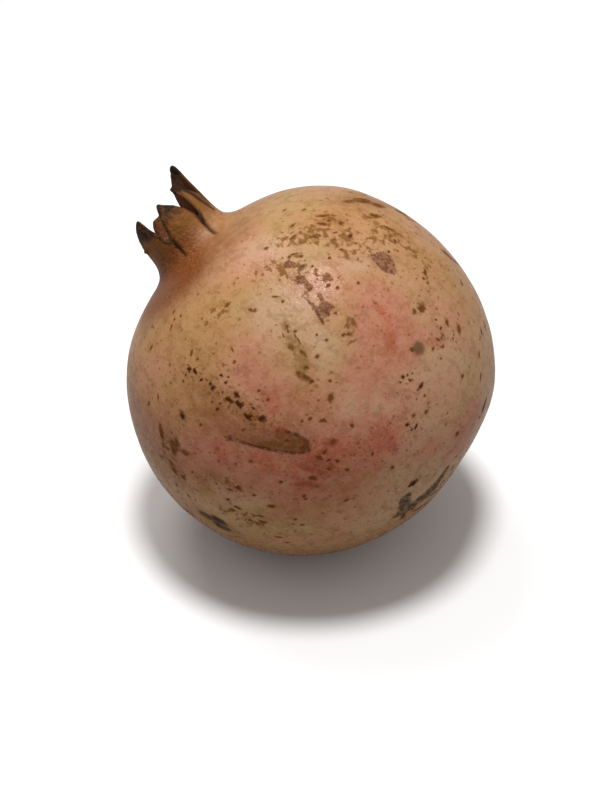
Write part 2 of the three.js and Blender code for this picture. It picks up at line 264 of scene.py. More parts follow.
# ---------------------------------------------------------------- where the colours lie
# A patch is (longitude, latitude, length, width, turn): a soft oval whose long axis is turned
# from the fruit's own east towards its crown, angles in degrees, half sizes in millimetres.
# "leaf_fade" is where the leaf scar fades into the skin, and "leaf_rim" where its outline is dark.
PATCHES = {
    "blush": (
        (25, 12, 8, 5.5, 50), (30, 7, 6, 5, 40), (20, 2, 9, 6, 50), (11, 1, 7, 5, 20),
        (-16, -7, 14, 8, -42), (-2, -14, 12, 7, -42), (-30, 4, 12, 7, -42), (-42, 10, 9, 6, -42),
        (-56, 18, 7, 5, 60), (-14, 13, 7, 4, 60), (-15, 22, 6, 3.5, 60), (-26, -4, 8, 5, -42),
        (-28, -14, 9, 5, 0), (-38, -2, 6, 4, 0), (4, -18, 6, 4, 0), (12, -32, 4, 3, 0), (28, -42, 9, 6, 0),
        (-70, 28, 10, 8, 0), (95, 20, 14, 8, 20), (88, 4, 9, 6, -50), (150, -10, 15, 8, -30),
        (160, 6, 8, 5, 40), (138, -24, 9, 6, 10), (-120, 15, 13, 8, 40), (-108, 2, 8, 5, -30),
        (-100, -40, 14, 9, 0), (110, -50, 14, 9, 0), (-160, 48, 10, 6, 0), (-172, 20, 9, 5, 60),
        (-148, -8, 12, 7, -40), (-85, 12, 8, 6, 0), (128, 32, 8, 5, -20), (175, -38, 14, 8, 10),
        (26, -3, 7, 5, 40), (32, -38, 7, 5, 0),
    ),
    # Pale pink skin; the haze patches round the highlight and below the crown are a painted sheen.
    "haze_and_sheen": (
        (-13, 22, 12, 7, 60), (-22, 20, 8, 5, 60), (12, 48, 8, 5, -30), (22, 58, 7, 4, 0),
        (24, 27, 6, 5, 0), (25, 9, 9, 5, 50), (-6, 2, 9, 6, 0), (-52, 40, 9, 6, 0), (12, -14, 12, 8, 30),
        (26, -22, 9, 6, 20), (42, -8, 9, 6, -60), (-20, -30, 12, 6, 0), (110, 0, 20, 14, 30),
        (160, 20, 22, 12, -30), (-140, 0, 22, 16, 20), (-95, 30, 16, 10, 0), (-170, -30, 20, 14, 0),
        (130, 55, 12, 8, 0),
    ),
    "red": (
        (-14, -10, 6, 4, -10), (-10, -12, 5, 3, -42), (-21, -11, 5, 3, 0), (-17, -8, 4, 2.5, 30),
        (-24, -12, 3, 2, -42), (1, -17, 5, 3, -30), (4, -16, 3.5, 2.5, 60), (-4, -21, 3, 2, 60),
        (-28, 2, 4, 2, -42), (-28, -3, 3, 2, -42), (-38, 9, 3, 2, 60), (-15, 11, 3.5, 2, 60),
        (27, 9, 3, 1.8, 50), (33, -8, 2.5, 1.5, -42), (-18, 4, 2.5, 1.6, -42), (23, 3, 3, 1.6, 50),
        (-16.5, -8, 3, 1.8, -60), (-17, -12.5, 4, 2, -20), (-23, -13, 2.8, 1.6, -42),
        (-10, -7, 2.4, 1.6, -42), (-20, -8.5, 3, 2, -60), (-14, -9, 3.5, 2, 60), (3, -21, 2.6, 1.6, 0),
        (13, -35, 1.6, 0.8, 40), (17, -11.7, 1.0, 0.6, -60), (155, -6, 5, 2.5, 0), (147, -14, 4, 2, 40),
        (163, 4, 3, 2, 60), (-118, 14, 5, 2.5, 30), (-126, 8, 3, 2, -30), (92, 22, 4, 2.5, 20),
        (-150, -10, 5, 2.5, -40), (-100, -42, 6, 3, 0), (112, -48, 6, 3, 20), (-170, 22, 3, 2, 60),
    ),
    "ruddy": (
        (-22, 0, 20, 12, -42), (-50, 12, 14, 10, -42), (-73, 22, 9, 8, 0), (-70, 23, 9, 7, 0),
        (-8, -15, 9, 7, -42), (-35, 14, 12, 8, -42), (-15, -22, 11, 7, -30), (-8, 6, 8, 5, -42),
        (14, 31, 4, 2.5, 60), (20, 27, 3, 2, 0), (-65, 25, 10, 8, 0), (-40, -14, 12, 7, -42),
        (125, -14, 16, 10, 30), (-165, -14, 18, 10, -20), (-110, -18, 16, 10, 0), (95, -28, 14, 10, 0),
        (170, 44, 12, 8, 0), (-128, 42, 12, 8, 20),
    ),
    # Pale skin and painted light: the pale patches below the crown and round the highlight are a painted
    # sheen, and those on the lower right are painted light.
    "pale_and_painted_light": (
        (20, 53, 6, 4, -42), (16, 48, 5, 3, -42), (9, 27, 7, 4.5, 60), (16, -14, 8, 6, 0),
        (26, -16, 9, 6, 20), (11, -20, 8, 6, -30), (21, -20, 8, 6, 0), (3, -5, 8, 5, 0), (2, -47, 6, 4, 0),
        (10, -39, 7, 4, 20), (0, 32, 7, 4, 60), (5, 30, 6, 3, 60), (33, 24, 5, 2.5, -50),
        (-4, -30, 7, 6, 0), (-10, -40, 8, 6, 0), (8, -36, 8, 6, 0), (-20, -42, 8, 5, 0),
        (-42, -2, 8, 4, -42), (12, -10, 8, 6, 0), (17, 5, 4, 3, 0), (7, 15, 6, 3.5, 60),
        (20, -18, 9, 7, 0), (33, -18, 10, 7, 30), (4, -5, 7, 4, 60), (12, -44, 9, 4, 20),
        (0, -42, 5, 3, -42), (-42, -7, 7, 3, -42), (118, 18, 12, 5, 50), (140, 10, 10, 4, -40),
        (-152, 30, 12, 6, 20), (-95, -12, 10, 5, -30), (178, 2, 10, 5, 60), (-128, -34, 12, 6, 0),
        (88, 44, 9, 5, -20),
    ),
    "yellow_green": (
        (0, 33, 8, 5, 60), (2, 24, 7, 4, 70), (7, 14, 5, 3, 60), (-4, 38, 5, 4, 60), (24, -22, 9, 6, 20),
        (55, 58, 7, 4, 0), (4, 30, 7, 4, 65), (-55, -8, 9, 6, -42), (-62, -14, 8, 5, -42),
        (28, 36, 6, 4, 0), (34, -21, 8, 6, 30), (32, -28, 10, 6, 20), (22, 50, 6, 4, -40),
        (62, 56, 8, 4, 0), (-42, -8, 10, 4, -42), (-45, -20, 12, 5, -42), (-5, -32, 10, 4, 0),
        (122, 8, 12, 6, 50), (-90, 0, 10, 6, 0), (170, 12, 12, 6, -40), (15, 53, 7, 4, 0),
        (52, 49, 10, 5, -20), (28, 35, 5, 3, -40), (-135, -22, 14, 7, 20), (150, 42, 12, 6, 0),
        (95, -12, 10, 5, -40),
    ),
    "ochre": (
        (-30, 42, 14, 10, 0), (-46, 46, 14, 10, 0), (-42, 34, 16, 10, 0), (-56, 30, 14, 9, 0),
        (-8, 42, 7, 4, -10), (-16, 46, 7, 4, 0), (-70, 20, 12, 10, 0), (64, 41, 14, 8, -40),
        (68, 28, 12, 6, -58), (58, 6, 9, 7, -60), (62, 73, 9, 5, 0), (48, 67, 7, 4, 0),
        (62, -10, 9, 6, -60), (-82, 45, 14, 10, 0), (-84, 30, 12, 8, 0), (50, 45, 10, 6, -20),
        (58, 22, 6, 5, -60), (4, 42, 6, 4, 0), (30, 60, 8, 4, -20), (2, 18, 6, 2.5, 70),
        (18, 14, 3, 2.5, 0), (-140, 40, 22, 14, 0), (160, 35, 22, 14, 0),
    ),
    "brown": (
        (-30, 25, 8, 3.5, -55), (-27, 18, 7, 4.5, -52), (-25, 11, 8, 5, -46), (-20, 3, 7, 3.5, -44),
        (-25, 7, 5, 3, -42), (-34, 20, 5, 4, 0), (-56, 20, 6, 4, 60), (-62, 13, 7, 4, -60),
        (-65, -10, 6, 4, -60), (-50, 62, 14, 7, 0), (26, 66, 9, 6.5, 0), (-74, 26, 10, 8, 0),
        (-76, 20, 12, 7, 65), (-70, 10, 9, 5, -70), (-44, 3, 4, 2, -42), (71, 32, 8, 1.8, -55),
        (76, 27, 6, 1.6, -62), (55, 20, 3, 1.5, -60), (72, 1, 4, 1.6, -90), (70, 34, 9, 5, -45),
        (-26.5, 44, 1.3, 0.8, 13), (-42, 62, 4, 2.5, 20), (-17, 0, 6, 3.5, -44), (-150, -30, 20, 14, 20),
        (120, 40, 18, 10, -20), (-85, 40, 10, 6, 0), (175, -35, 12, 8, 20),
    ),
    # The neck patches are orange-brown skin, and on the neck's lower left, where they lie thickest,
    # painted shade as well.
    "neck": (
        (-40, 74, 12, 8, 0), (-32, 72, 8, 5, 0), (-48, 76, 8, 5, 0), (-30, 68, 8, 4, 0),
        (-46, 68, 8, 4, 0), (-60, 66, 9, 6, 0), (-24, 77, 6, 4, 0), (-26, 64, 9, 5, 0),
        (-110, 72, 14, 8, 0), (180, 76, 12, 7, 0),
    ),
    "russet": (
        (47, 39, 7, 4, -45), (40, 35, 8, 4, -50), (60, 28, 6, 3, -65), (57, 21, 6, 3, -60),
        (31, 45, 5, 3, -42), (22, 39, 4, 2.5, -40), (36, 39, 6, 3, -55), (40, 30, 6, 4, -45),
        (14, 43, 5, 2.5, -42), (17, 37, 4, 3, -50), (-12, 43, 5, 3.5, 0), (-25, 20, 8, 2.5, -50),
        (-22, 11, 6, 3, -50), (-57, 20, 6, 3, 60), (-60, 11, 6, 3, -65), (50, 7, 5, 3, 20),
        (16, 12, 3.5, 2.5, 50), (-45, 2, 6, 2.5, -50), (54, 14, 7, 3.5, -60), (38, 27, 5, 3, -45),
        (48, 24, 6, 3, -50), (-50, -12, 8, 5, -42), (104, 30, 9, 4, -30), (112, 24, 6, 3, -60),
        (170, 24, 9, 4, 10), (158, 30, 6, 4, -30), (-112, 30, 8, 4, -30), (-150, -20, 8, 4, 30),
        (-140, -14, 5, 3, -40), (-98, 14, 6, 3, 60), (135, -8, 7, 3, -40), (-175, -6, 6, 3, 20),
    ),
    "speckled": (
        (44, 36, 22, 13, -45), (54, 12, 14, 12, 0), (42, -8, 9, 8, 0), (20, 28, 10, 8, 0),
        (-24, 22, 22, 8, -50), (-36, 36, 14, 10, 0), (-52, 8, 14, 12, 0), (-20, -36, 26, 12, 0),
        (-10, -12, 12, 8, 0), (2, -22, 10, 8, 0), (-12, 44, 10, 7, 0), (70, -12, 14, 14, 0),
        (-42, -10, 14, 10, -42), (110, 10, 20, 20, 0), (150, 0, 30, 24, 0), (-130, 10, 30, 24, 0),
        (30, -60, 24, 14, 0),
    ),
    "leaf_fade": (
        (-29, 11.5, 4, 3, -46), (-23, 7.5, 4, 1.6, -46),
    ),
    "leaf_rim": (
        (-28, 6.5, 3.0, 2.0, -50), (-25, 3, 3.5, 2.0, -50), (-21, -1.5, 3.0, 2.0, -50),
        (-16, -4, 3.0, 3.0, 0), (-16, 2, 3.6, 2.2, -65), (-32, 11, 2.2, 1.2, -42),
    ),
}

# A mark is a patch with a clear edge.
MARKS = {
    "scab": (
        (17, 24.3, 1.4, 0.5, 63), (16.3, 22, 1.6, 1.0, -52), (14, 25.3, 1.7, 0.45, -94),
        (14, 22, 1.6, 0.5, -42), (12.6, 21, 1.0, 0.3, 63), (14.8, 20, 0.6, 0.4, 0),
        (14.4, 28.3, 0.7, 0.5, 0), (20.5, 38.4, 1.5, 0.8, -57), (22, 35, 1.3, 0.7, -22),
        (17.7, 32.6, 1.2, 1.0, -60), (17.5, 29.2, 0.9, 0.7, 0), (24, 27.3, 1.0, 0.8, -80),
        (22, 29.8, 1.0, 0.2, 38), (26.5, 25.3, 0.8, 0.25, -12), (24, 31.5, 0.5, 0.25, 0),
        (150, 12, 1.8, 1.0, 40), (148, 9, 1.0, 0.7, -30), (153, 9.5, 0.7, 0.5, 0),
        (-158, -16, 1.6, 0.9, -50), (-156, -19, 0.8, 0.6, 0), (102, -20, 1.3, 1.0, 20),
    ),
    "round_scab": (
        (41.6, 17.8, 2.9, 2.5, 50), (40.6, 21.4, 1.2, 0.7, -57), (43.5, 20, 1.1, 0.9, 0),
        (40.3, 14.6, 0.9, 0.8, 0),
    ),
    "olive_scar": (
        (3, 26, 1.4, 1.0, 68), (1.7, 22, 2.4, 1.2, 72), (0.7, 18, 2.4, 1.6, 68),
        (-1.2, 14.5, 2.0, 1.7, 72), (-2.4, 11, 1.3, 0.9, -75),
    ),
    "grey_spot": (
        (128, -30, 1.4, 1.1, 0), (-104, 22, 1.2, 0.9, 30), (27.6, -5.2, 1.8, 1.4, 40),
        (71.5, 2.2, 1.6, 0.9, -90), (74, -2, 1.4, 0.5, -80), (78, 20.5, 1.8, 0.9, -45),
        (76, 16.5, 1.5, 0.5, -50),
    ),
    "blotch": (
        (-34, 65, 1.6, 0.4, 0), (-39, 62.5, 1.8, 0.4, 30), (-45, 61, 1.6, 0.4, 20),
        (-57, 23, 2.2, 0.9, 68), (-54.3, 17.4, 2.2, 1.1, 66), (-51.6, 17.8, 1.7, 0.8, 62),
        (-50.3, 14.5, 1.4, 0.8, -42), (-64, 16, 0.8, 0.5, 0), (-60, 13.5, 1.8, 0.6, -62),
        (-61.5, 11, 1.7, 0.6, -72), (-58.5, 8.5, 1.1, 0.5, -72), (-52, 6.3, 0.8, 0.4, -60),
        (-45.5, 2.7, 0.9, 0.35, -62), (50, 40.3, 1.3, 0.5, -42), (49, 37.6, 0.9, 0.7, -90),
        (46.2, 38.2, 0.6, 0.35, -30), (43.5, 39.2, 0.8, 0.45, -75), (48.3, 35, 0.6, 0.5, 0),
        (61.5, 27.7, 1.8, 0.9, -50), (57.5, 29.6, 0.7, 0.4, -30), (57.3, 22.7, 1.5, 0.6, -80),
        (52, 19.6, 0.7, 0.55, -20), (37, 38.3, 1.7, 0.35, -66), (31.3, 44.2, 0.8, 0.4, -20),
        (43.8, 30.6, 0.55, 0.4, 0), (37.5, 33.3, 1.0, 0.8, -90), (35.8, 31, 0.5, 0.4, 0),
        (41, 28.3, 0.7, 0.3, -40), (66, 36.5, 1.8, 0.9, -42), (71, 33, 2.6, 1.5, -45),
        (72, 28.2, 2.2, 1.3, -60), (70, 28, 0.6, 0.4, 0), (52.5, 41, 0.6, 0.35, 0),
        (13.3, 10, 0.6, 0.5, 0), (18.3, 13.4, 1.3, 0.7, 80), (16.8, 14.2, 1.2, 0.35, 48),
        (16.2, 11.8, 0.9, 0.4, 0), (-3.2, 13.2, 1.3, 0.8, -75), (-2.6, 10.9, 1.2, 0.6, -60),
        (1.4, 17.2, 0.9, 0.5, 70), (37, -9.2, 0.9, 0.7, 0), (63, -21, 1.1, 0.6, 48),
        (54.5, -21, 0.9, 0.5, 48), (64, -5.5, 0.9, 0.5, 48), (70.5, 3.2, 1.2, 0.7, -90),
        (72.5, -0.6, 1.0, 0.4, -80), (77.5, 18.6, 1.3, 0.6, -45), (140, 18, 1.6, 0.6, -30),
        (143, 16, 0.9, 0.5, 20), (-130, -14, 1.8, 0.6, 40), (-127, -11, 0.9, 0.5, 0),
        (175, 40, 1.6, 0.5, 10), (-95, 12, 1.3, 0.5, 60), (108, 12, 1.4, 0.6, -40),
        (160, -22, 1.5, 0.7, 30), (-165, 8, 1.2, 0.5, -20), (-148, 26, 1.0, 0.6, 50),
        (94, -6, 1.2, 0.5, 0), (-116, -36, 1.6, 0.7, -20),
    ),
    "red_spot": (
        (-9.6, -7.4, 1.2, 1.0, 0), (-12.2, -8.2, 0.6, 0.5, 0), (-16.6, -7.9, 1.5, 1.0, -60),
        (-14.1, -7.5, 0.9, 0.6, 60), (-15.6, -10.6, 0.6, 0.5, 0), (-14.6, -12.9, 0.9, 0.8, 0),
        (-17.8, -13.1, 1.0, 0.8, 0), (-17.7, -15.1, 1.0, 0.6, 0), (-20.1, -8.3, 1.6, 1.0, -60),
        (-23.2, -13.2, 1.7, 1.0, -60), (-14, -17.2, 0.7, 0.5, 0), (-11, -6, 1.4, 0.5, 60),
        (-18.5, -10.5, 1.2, 0.7, 30), (4, -19, 1.0, 0.6, 0), (3, -22, 1.1, 0.7, 60),
        (-25.5, -11.5, 1.0, 0.6, -42),
    ),
    "scuff": (
        (-6.5, -42, 1.9, 1.5, 20), (-9, -45, 2.2, 1.8, 50), (-11, -48.5, 2.2, 1.6, 48),
        (-7, -50, 2.2, 1.3, 48), (-14, -46, 1.6, 0.4, -42), (-15, -52, 1.6, 0.9, 48),
        (0, -50.5, 2.4, 2.0, 20), (5, -50.3, 2.4, 1.9, 20), (9.5, -49, 2.2, 1.4, 20),
        (13.5, -47.4, 1.9, 0.9, 20), (-5, -49.5, 2.4, 1.6, 20), (-15, -48, 1.7, 0.6, -42),
        (4, -55, 1.4, 0.6, -30), (11, -53.5, 1.1, 0.5, 10), (-8, -56, 1.8, 0.7, -60),
        (19, -51, 0.8, 0.45, 60), (-17, -56, 0.9, 0.4, 20), (-3, -59, 1.2, 0.5, 40),
        (-61.5, -9.3, 2.2, 1.5, -60), (-65, -6.5, 2.4, 1.4, -60), (-64.5, -12, 2.4, 1.6, -60),
        (-66, -17.5, 1.6, 0.5, -42), (-76, -4.5, 1.5, 0.8, -60), (46, -41, 2.4, 0.7, 24),
    ),
}
# The long scar where a leaf lay against the young fruit: its outline, longitude and latitude.
LEAF_SCAR = (
    (-33.5, 11.7), (-30.5, 10.2), (-28.3, 6.8), (-25.5, 4), (-22, -0.3), (-19.4, -2.7), (-16.5, -5),
    (-15, -4.7), (-14.2, -2.5), (-15.3, 1.2), (-17.3, 4.3), (-21, 7), (-26, 12),
)
# Dots and dashes of dead skin that can be seen one by one.
DARK_SPECKS = (
    (-32.5, 34.2, 0.8, 0.5, -50), (-30.5, 32.8, 0.75, 0.6, -90), (-29.9, 29.6, 0.45, 0.3, 0),
    (-27.5, 27, 0.5, 0.35, -80), (-27.4, 25.6, 0.6, 0.5, 0), (-22.8, 27.3, 0.6, 0.3, -72),
    (-22.6, 24.7, 0.4, 0.35, 0), (-24.8, 20, 1.2, 0.45, -62), (-21.9, 20, 0.9, 0.6, -42),
    (-22.9, 17.8, 1.5, 0.7, -87), (-30, 20, 0.4, 0.3, 0), (-23.3, 13.2, 1.1, 0.6, -60),
    (-22.2, 12.6, 0.5, 0.3, -90), (-20.2, 14.2, 0.4, 0.25, -80), (-20, 10.6, 0.8, 0.7, 0),
    (-43.3, 24, 1.0, 0.65, -85), (-16.5, -3.3, 0.8, 0.55, -30), (-18.6, 1.2, 0.4, 0.35, 0),
    (41.2, -11.5, 0.4, 0.35, 0), (-61.6, -9, 1.5, 1.0, -70), (40, -12.2, 0.4, 0.35, 0),
    (18, -7.7, 0.4, 0.4, 0), (20.8, -13.7, 0.9, 0.4, 3), (10.3, -19.3, 0.5, 0.35, -60),
    (10.3, -21.4, 0.5, 0.4, 0), (12.2, -22, 0.75, 0.3, 18), (-0.2, -38.4, 1.3, 0.7, -12),
    (-12.3, -12.8, 0.5, 0.4, 0), (24.2, 32.8, 0.3, 0.26, 0), (43.8, 30.4, 0.6, 0.4, 0),
    (46.4, 18.7, 0.35, 0.3, 0), (3.3, 25.3, 0.9, 0.4, 68), (-0.5, 13.3, 0.6, 0.45, 0),
    (-2.2, 9.7, 0.5, 0.45, 0),
)
BROWN_SPECKS = (
    (-38, -12.4, 0.9, 0.5, -37), (-41.4, -1.8, 1.2, 0.7, -80), (-44, -1.5, 0.9, 0.35, -42),
    (-1.3, 36, 0.9, 0.35, -62), (-0.8, 35.6, 0.5, 0.4, 0), (1.8, 6.2, 0.4, 0.3, -40),
    (14.6, 12.3, 0.9, 0.4, -57), (13.7, 12.8, 0.45, 0.35, 0), (16.6, 18.6, 0.4, 0.35, 0),
    (12.2, 19.8, 1.1, 0.3, 63), (37.7, 1.4, 1.2, 1.0, 0), (37.9, 1.2, 0.7, 0.6, 0),
    (34.8, 2.4, 0.6, 0.5, 20), (41.8, -7.7, 1.1, 0.55, 48), (45.2, -12.1, 1.3, 0.6, 50),
    (2.6, 24.3, 1.1, 0.18, 70), (3.2, 21.8, 1.2, 0.16, 74), (0.6, 24, 0.9, 0.16, 70),
    (-29, 38, 0.7, 0.3, 43), (-27.8, 35.3, 0.35, 0.3, 0), (-37, 32.3, 0.3, 0.3, 0),
    (-35, 33.5, 0.3, 0.3, 0), (-30.2, 22.5, 0.3, 0.25, 0), (-28.3, 20.8, 0.35, 0.25, 0),
    (-23.5, 26.3, 0.25, 0.25, 0), (-21, 25.5, 0.25, 0.25, 0), (-25.3, 23, 0.25, 0.25, 0),
    (-26.8, 11, 0.4, 0.25, 0), (-52, 32.5, 0.8, 0.25, 63), (-59, 32, 0.6, 0.3, 38),
    (-51.5, 47.5, 0.7, 0.4, 33), (-36, 49.5, 0.7, 0.25, 58), (-33.5, 54.3, 0.5, 0.3, 48),
    (-29, 51, 0.3, 0.3, 0), (-33.5, 51.5, 0.3, 0.3, 0), (-7, 43, 0.8, 0.4, 0), (7.6, 34.3, 0.8, 0.22, -50),
    (8.2, 31.7, 0.35, 0.3, 0), (-14.8, 31, 0.6, 0.2, 78), (-16.5, 27.7, 0.35, 0.3, 0),
    (-15.2, 13.5, 0.35, 0.3, 0), (-15.5, 17, 0.35, 0.3, 0), (-9.4, 1.9, 0.4, 0.35, 0),
    (-11.6, 2.8, 0.4, 0.35, 0), (-7, -0.8, 1.1, 0.35, -37), (-2.3, -7.5, 0.6, 0.5, -30),
    (-1.2, 2.6, 0.9, 0.55, 38), (0.1, 20.5, 0.8, 0.5, -87), (4.1, 22.9, 0.35, 0.3, 0),
    (3, 20.3, 0.7, 0.15, 75), (1.5, 16, 0.7, 0.15, 70), (8.9, 15, 0.3, 0.3, 0), (8, 18, 0.25, 0.25, 0),
    (3.8, 13.5, 0.45, 0.4, 0), (23.2, 23.2, 0.4, 0.35, 0), (22, 25.6, 0.45, 0.35, 0),
    (29, 19.8, 0.35, 0.3, 0), (22.8, 40.3, 0.5, 0.35, 0), (24.5, 40, 1.0, 0.25, -32),
    (25.4, 37.6, 0.35, 0.3, 0), (21.5, 48.5, 0.5, 0.35, -30), (32, 44, 0.8, 0.35, -12),
    (30.5, 30.8, 0.35, 0.3, 0), (36, 38.3, 1.8, 0.35, -64), (38, 47, 0.9, 0.35, -10),
    (44, 39.7, 0.9, 0.4, -60), (47, 38.5, 0.6, 0.4, -30), (48, 35, 0.5, 0.4, 0),
    (42, 34.5, 0.6, 0.25, -30), (41.5, 27.8, 0.5, 0.3, -40), (36, 29.8, 0.4, 0.3, 0),
    (49, 41, 1.6, 0.35, -57), (51, 47.5, 0.6, 0.3, -20), (49.5, 53.5, 0.6, 0.25, -20),
    (58.5, 29, 0.8, 0.3, -60), (53, 19, 0.8, 0.3, 18), (48.7, 17.4, 0.3, 0.3, 0),
    (38.8, -4, 0.4, 0.2, -47), (38.5, -7, 0.5, 0.3, 0), (35, -8.5, 0.7, 0.3, -62), (35, -11, 0.4, 0.3, 0),
    (31.4, -9, 0.4, 0.35, 0), (31.7, -12.5, 0.55, 0.3, -62), (25.6, -4.2, 0.6, 0.5, 0),
    (16.3, -8.2, 0.4, 0.3, -20), (19.5, -8.3, 0.3, 0.25, 0), (21, -9, 0.3, 0.25, 0),
    (19.2, -10, 0.6, 0.35, -40), (36.2, -23, 0.5, 0.4, 30), (49.5, -24, 0.8, 0.3, 48),
    (46, -30, 0.8, 0.3, 48), (57.5, -20.5, 0.8, 0.3, 58), (13.5, -18.7, 0.45, 0.4, 0),
    (17.5, -21, 0.45, 0.4, 0), (20, -16.8, 0.3, 0.3, 0), (24.5, -37, 0.6, 0.5, 0),
    (49.5, 6.5, 0.9, 0.3, 18), (47, 6, 0.4, 0.3, 0), (47, 4.2, 0.4, 0.3, 0), (63, -6, 0.5, 0.35, 0),
    (-1.8, -27, 0.45, 0.4, 0), (-3.3, -18.5, 0.5, 0.3, 30), (-9, -7.5, 0.6, 0.45, 0),
    (-13, -8.3, 0.7, 0.4, 20), (-15.2, -8.5, 0.8, 0.45, -80), (-13.8, -11, 0.4, 0.35, 0),
    (-15.5, -13, 0.8, 0.4, -70), (-12, -17, 0.5, 0.3, -50), (-21, -12.5, 0.9, 0.5, -60),
    (-19.7, -25.5, 0.6, 0.3, -10), (-28, -16.5, 0.5, 0.3, -42), (-31.3, 2.5, 0.5, 0.3, -42),
    (-36, 4.3, 0.35, 0.25, 0), (-29, -7.5, 0.45, 0.35, 0), (-38.3, 19, 0.35, 0.3, 0),
    (-65.5, 6.5, 0.4, 0.35, 0), (-63.5, 2.3, 0.6, 0.3, -60), (-48, -3.7, 0.5, 0.4, 0),
    (-48, -7.3, 0.9, 0.35, -70), (-50.5, -7.3, 0.8, 0.3, -60), (-43.5, -2, 0.7, 0.25, -42),
    (-52.5, 8.5, 0.4, 0.25, 0), (-44.3, -13.5, 0.7, 0.35, -50), (-49, -13, 0.4, 0.3, 0),
    (-46, -15.7, 0.9, 0.3, -60), (-37, -20.8, 0.4, 0.3, 0), (-37.5, -24, 0.5, 0.3, -50),
    (-49.5, -24, 0.7, 0.35, -60), (-51, -28, 0.8, 0.3, -50), (-27.5, -15.5, 0.5, 0.4, 0),
    (-39, -6.5, 0.35, 0.3, 0),
)
# Clusters of specks on the far side: longitude, latitude, how many, and how far they spread.
SPECK_CLUSTERS = (
    (110, 26, 34, 6.0), (126, 4, 16, 3.5), (168, 26, 30, 5.5), (-178, -8, 18, 4.0), (150, -18, 20, 4.5),
    (-150, -18, 30, 5.0), (-112, 28, 28, 5.0), (-96, 6, 18, 3.5), (-135, 8, 16, 4.0), (-120, -30, 22, 5.0),
    (98, -34, 20, 5.0), (-160, 42, 14, 4.0), (84, 16, 14, 3.0), (140, 46, 14, 4.0), (170, -46, 24, 6.0),
)
RANDOM_SPECKS = 1900
SPECKS_ROUND_A_DARK_ONE = 4
SPECK_SEED = 41
SPECK_TURNS = (-75.0, -15.0)
SPREAD_ROUND_A_DARK_ONE = (0.8, 2.2)
WIDTH_ROUND_A_DARK_ONE = (0.14, 0.3)
CLUSTERED_WIDTH = (0.2, 0.5)
BROWN_DARKNESS = 0.68
FAINT_DARKNESS = (0.12, 0.5)
CLUSTER_DARKNESS = (0.4, 1.0)
# How far round a speck the faces carry its place, so that its ragged edge has room.
SPECK_ROOM = 2.5


def mark_axes(longitude, latitude, turn):
    """The outward direction at a place, and two axes along the skin, the first along the mark."""
    out = direction(longitude, latitude)
    east = direction(longitude + 90.0, 0.0)
    north = np.cross(out, east)
    angle = math.radians(turn)
    along = east * math.cos(angle) + north * math.sin(angle)
    return out, along, np.cross(out, along)


def within_mark(toward, longitude, latitude, length, width, turn):
    """How far each direction is from a mark's middle, in its half sizes, and if it faces the mark."""
    out, along, across = mark_axes(longitude, latitude, turn)
    x = toward @ along * BODY_RADIUS / length
    y = toward @ across * BODY_RADIUS / width
    return np.hypot(x, y), toward @ out > 0.0


def soft_patches(points, patches):
    """From 0 to 1: how strongly a set of soft oval patches covers each point."""
    toward = towards(points)
    bare = np.ones(len(points))
    for patch in patches:
        away, faces = within_mark(toward, *patch)
        bare *= 1.0 - np.exp(-away * away) * faces
    return 1.0 - bare


def edge_distance(points, marks):
    """Millimetres from each point to the nearest mark's edge, below zero inside the mark."""
    toward = towards(points)
    nearest = np.full(len(points), FAR)
    for mark in marks:
        away, faces = within_mark(toward, *mark)
        _, _, length, width, _ = mark
        distance = (away - 1.0) * math.sqrt(length * width)
        nearest = np.minimum(nearest, np.where(faces, distance, FAR))
    return nearest


def line_distance(places, start, end):
    """How far each place is from a straight line, and the share of the line it lies beside."""
    side = end - start
    share = np.clip((places - start) @ side / (side @ side), 0.0, 1.0)
    return np.linalg.norm(places - start - share[:, None] * side, axis=1), share


def outline_distance(points, outline):
    """Millimetres from each point to a closed outline on the skin, below zero inside it."""
    corners = np.array([direction(*corner) for corner in outline])
    middle = corners.mean(axis=0)
    middle /= np.linalg.norm(middle)
    east = np.cross((0.0, 0.0, 1.0), middle)
    east /= np.linalg.norm(east)
    axes = np.stack((east, np.cross(middle, east)))
    toward = towards(points)
    flat = toward @ axes.T * BODY_RADIUS
    corners = corners @ axes.T * BODY_RADIUS
    nearest = np.full(len(points), FAR)
    crossings = np.zeros(len(points), dtype=int)
    for start, end in zip(corners, np.roll(corners, -1, axis=0)):
        nearest = np.minimum(nearest, line_distance(flat, start, end)[0])
        spans = (start[1] > flat[:, 1]) != (end[1] > flat[:, 1])
        slope = (end[0] - start[0]) / (end[1] - start[1])
        crossings += spans & (flat[:, 0] < start[0] + slope * (flat[:, 1] - start[1]))
    nearest[crossings % 2 == 1] *= -1.0
    nearest[toward @ middle < 0.0] = FAR
    return nearest


def scattered_specks(count, seed):
    """Small specks thrown over the fruit, most of them where it is speckled."""
    random = np.random.default_rng(seed)
    specks = []
    for longitude, latitude, length, _, _ in DARK_SPECKS:
        for _ in range(SPECKS_ROUND_A_DARK_ONE):
            away = random.uniform(0.0, 2.0 * math.pi)
            spread = random.uniform(*SPREAD_ROUND_A_DARK_ONE) + length
            width = random.uniform(*WIDTH_ROUND_A_DARK_ONE)
            east = longitude + math.degrees(math.cos(away) * spread / BODY_RADIUS)
            north = latitude + math.degrees(math.sin(away) * spread / BODY_RADIUS)
            length_here = width * random.uniform(1.0, 1.8)
            specks.append((east, north, length_here, width, random.uniform(*SPECK_TURNS)))
    while len(specks) < count:
        longitude = random.uniform(-180.0, 180.0)
        latitude = math.degrees(math.asin(random.uniform(-0.98, 0.93)))
        crowding = soft_patches(direction(longitude, latitude)[None, :], PATCHES["speckled"])[0]
        if random.random() > 0.10 + 0.90 * crowding:
            continue
        width = 0.14 + 0.24 * random.random() ** 2.5
        length = width * (1.0 + 0.8 * random.random() ** 2)
        specks.append((longitude, latitude, length, width, random.uniform(*SPECK_TURNS)))
    return specks


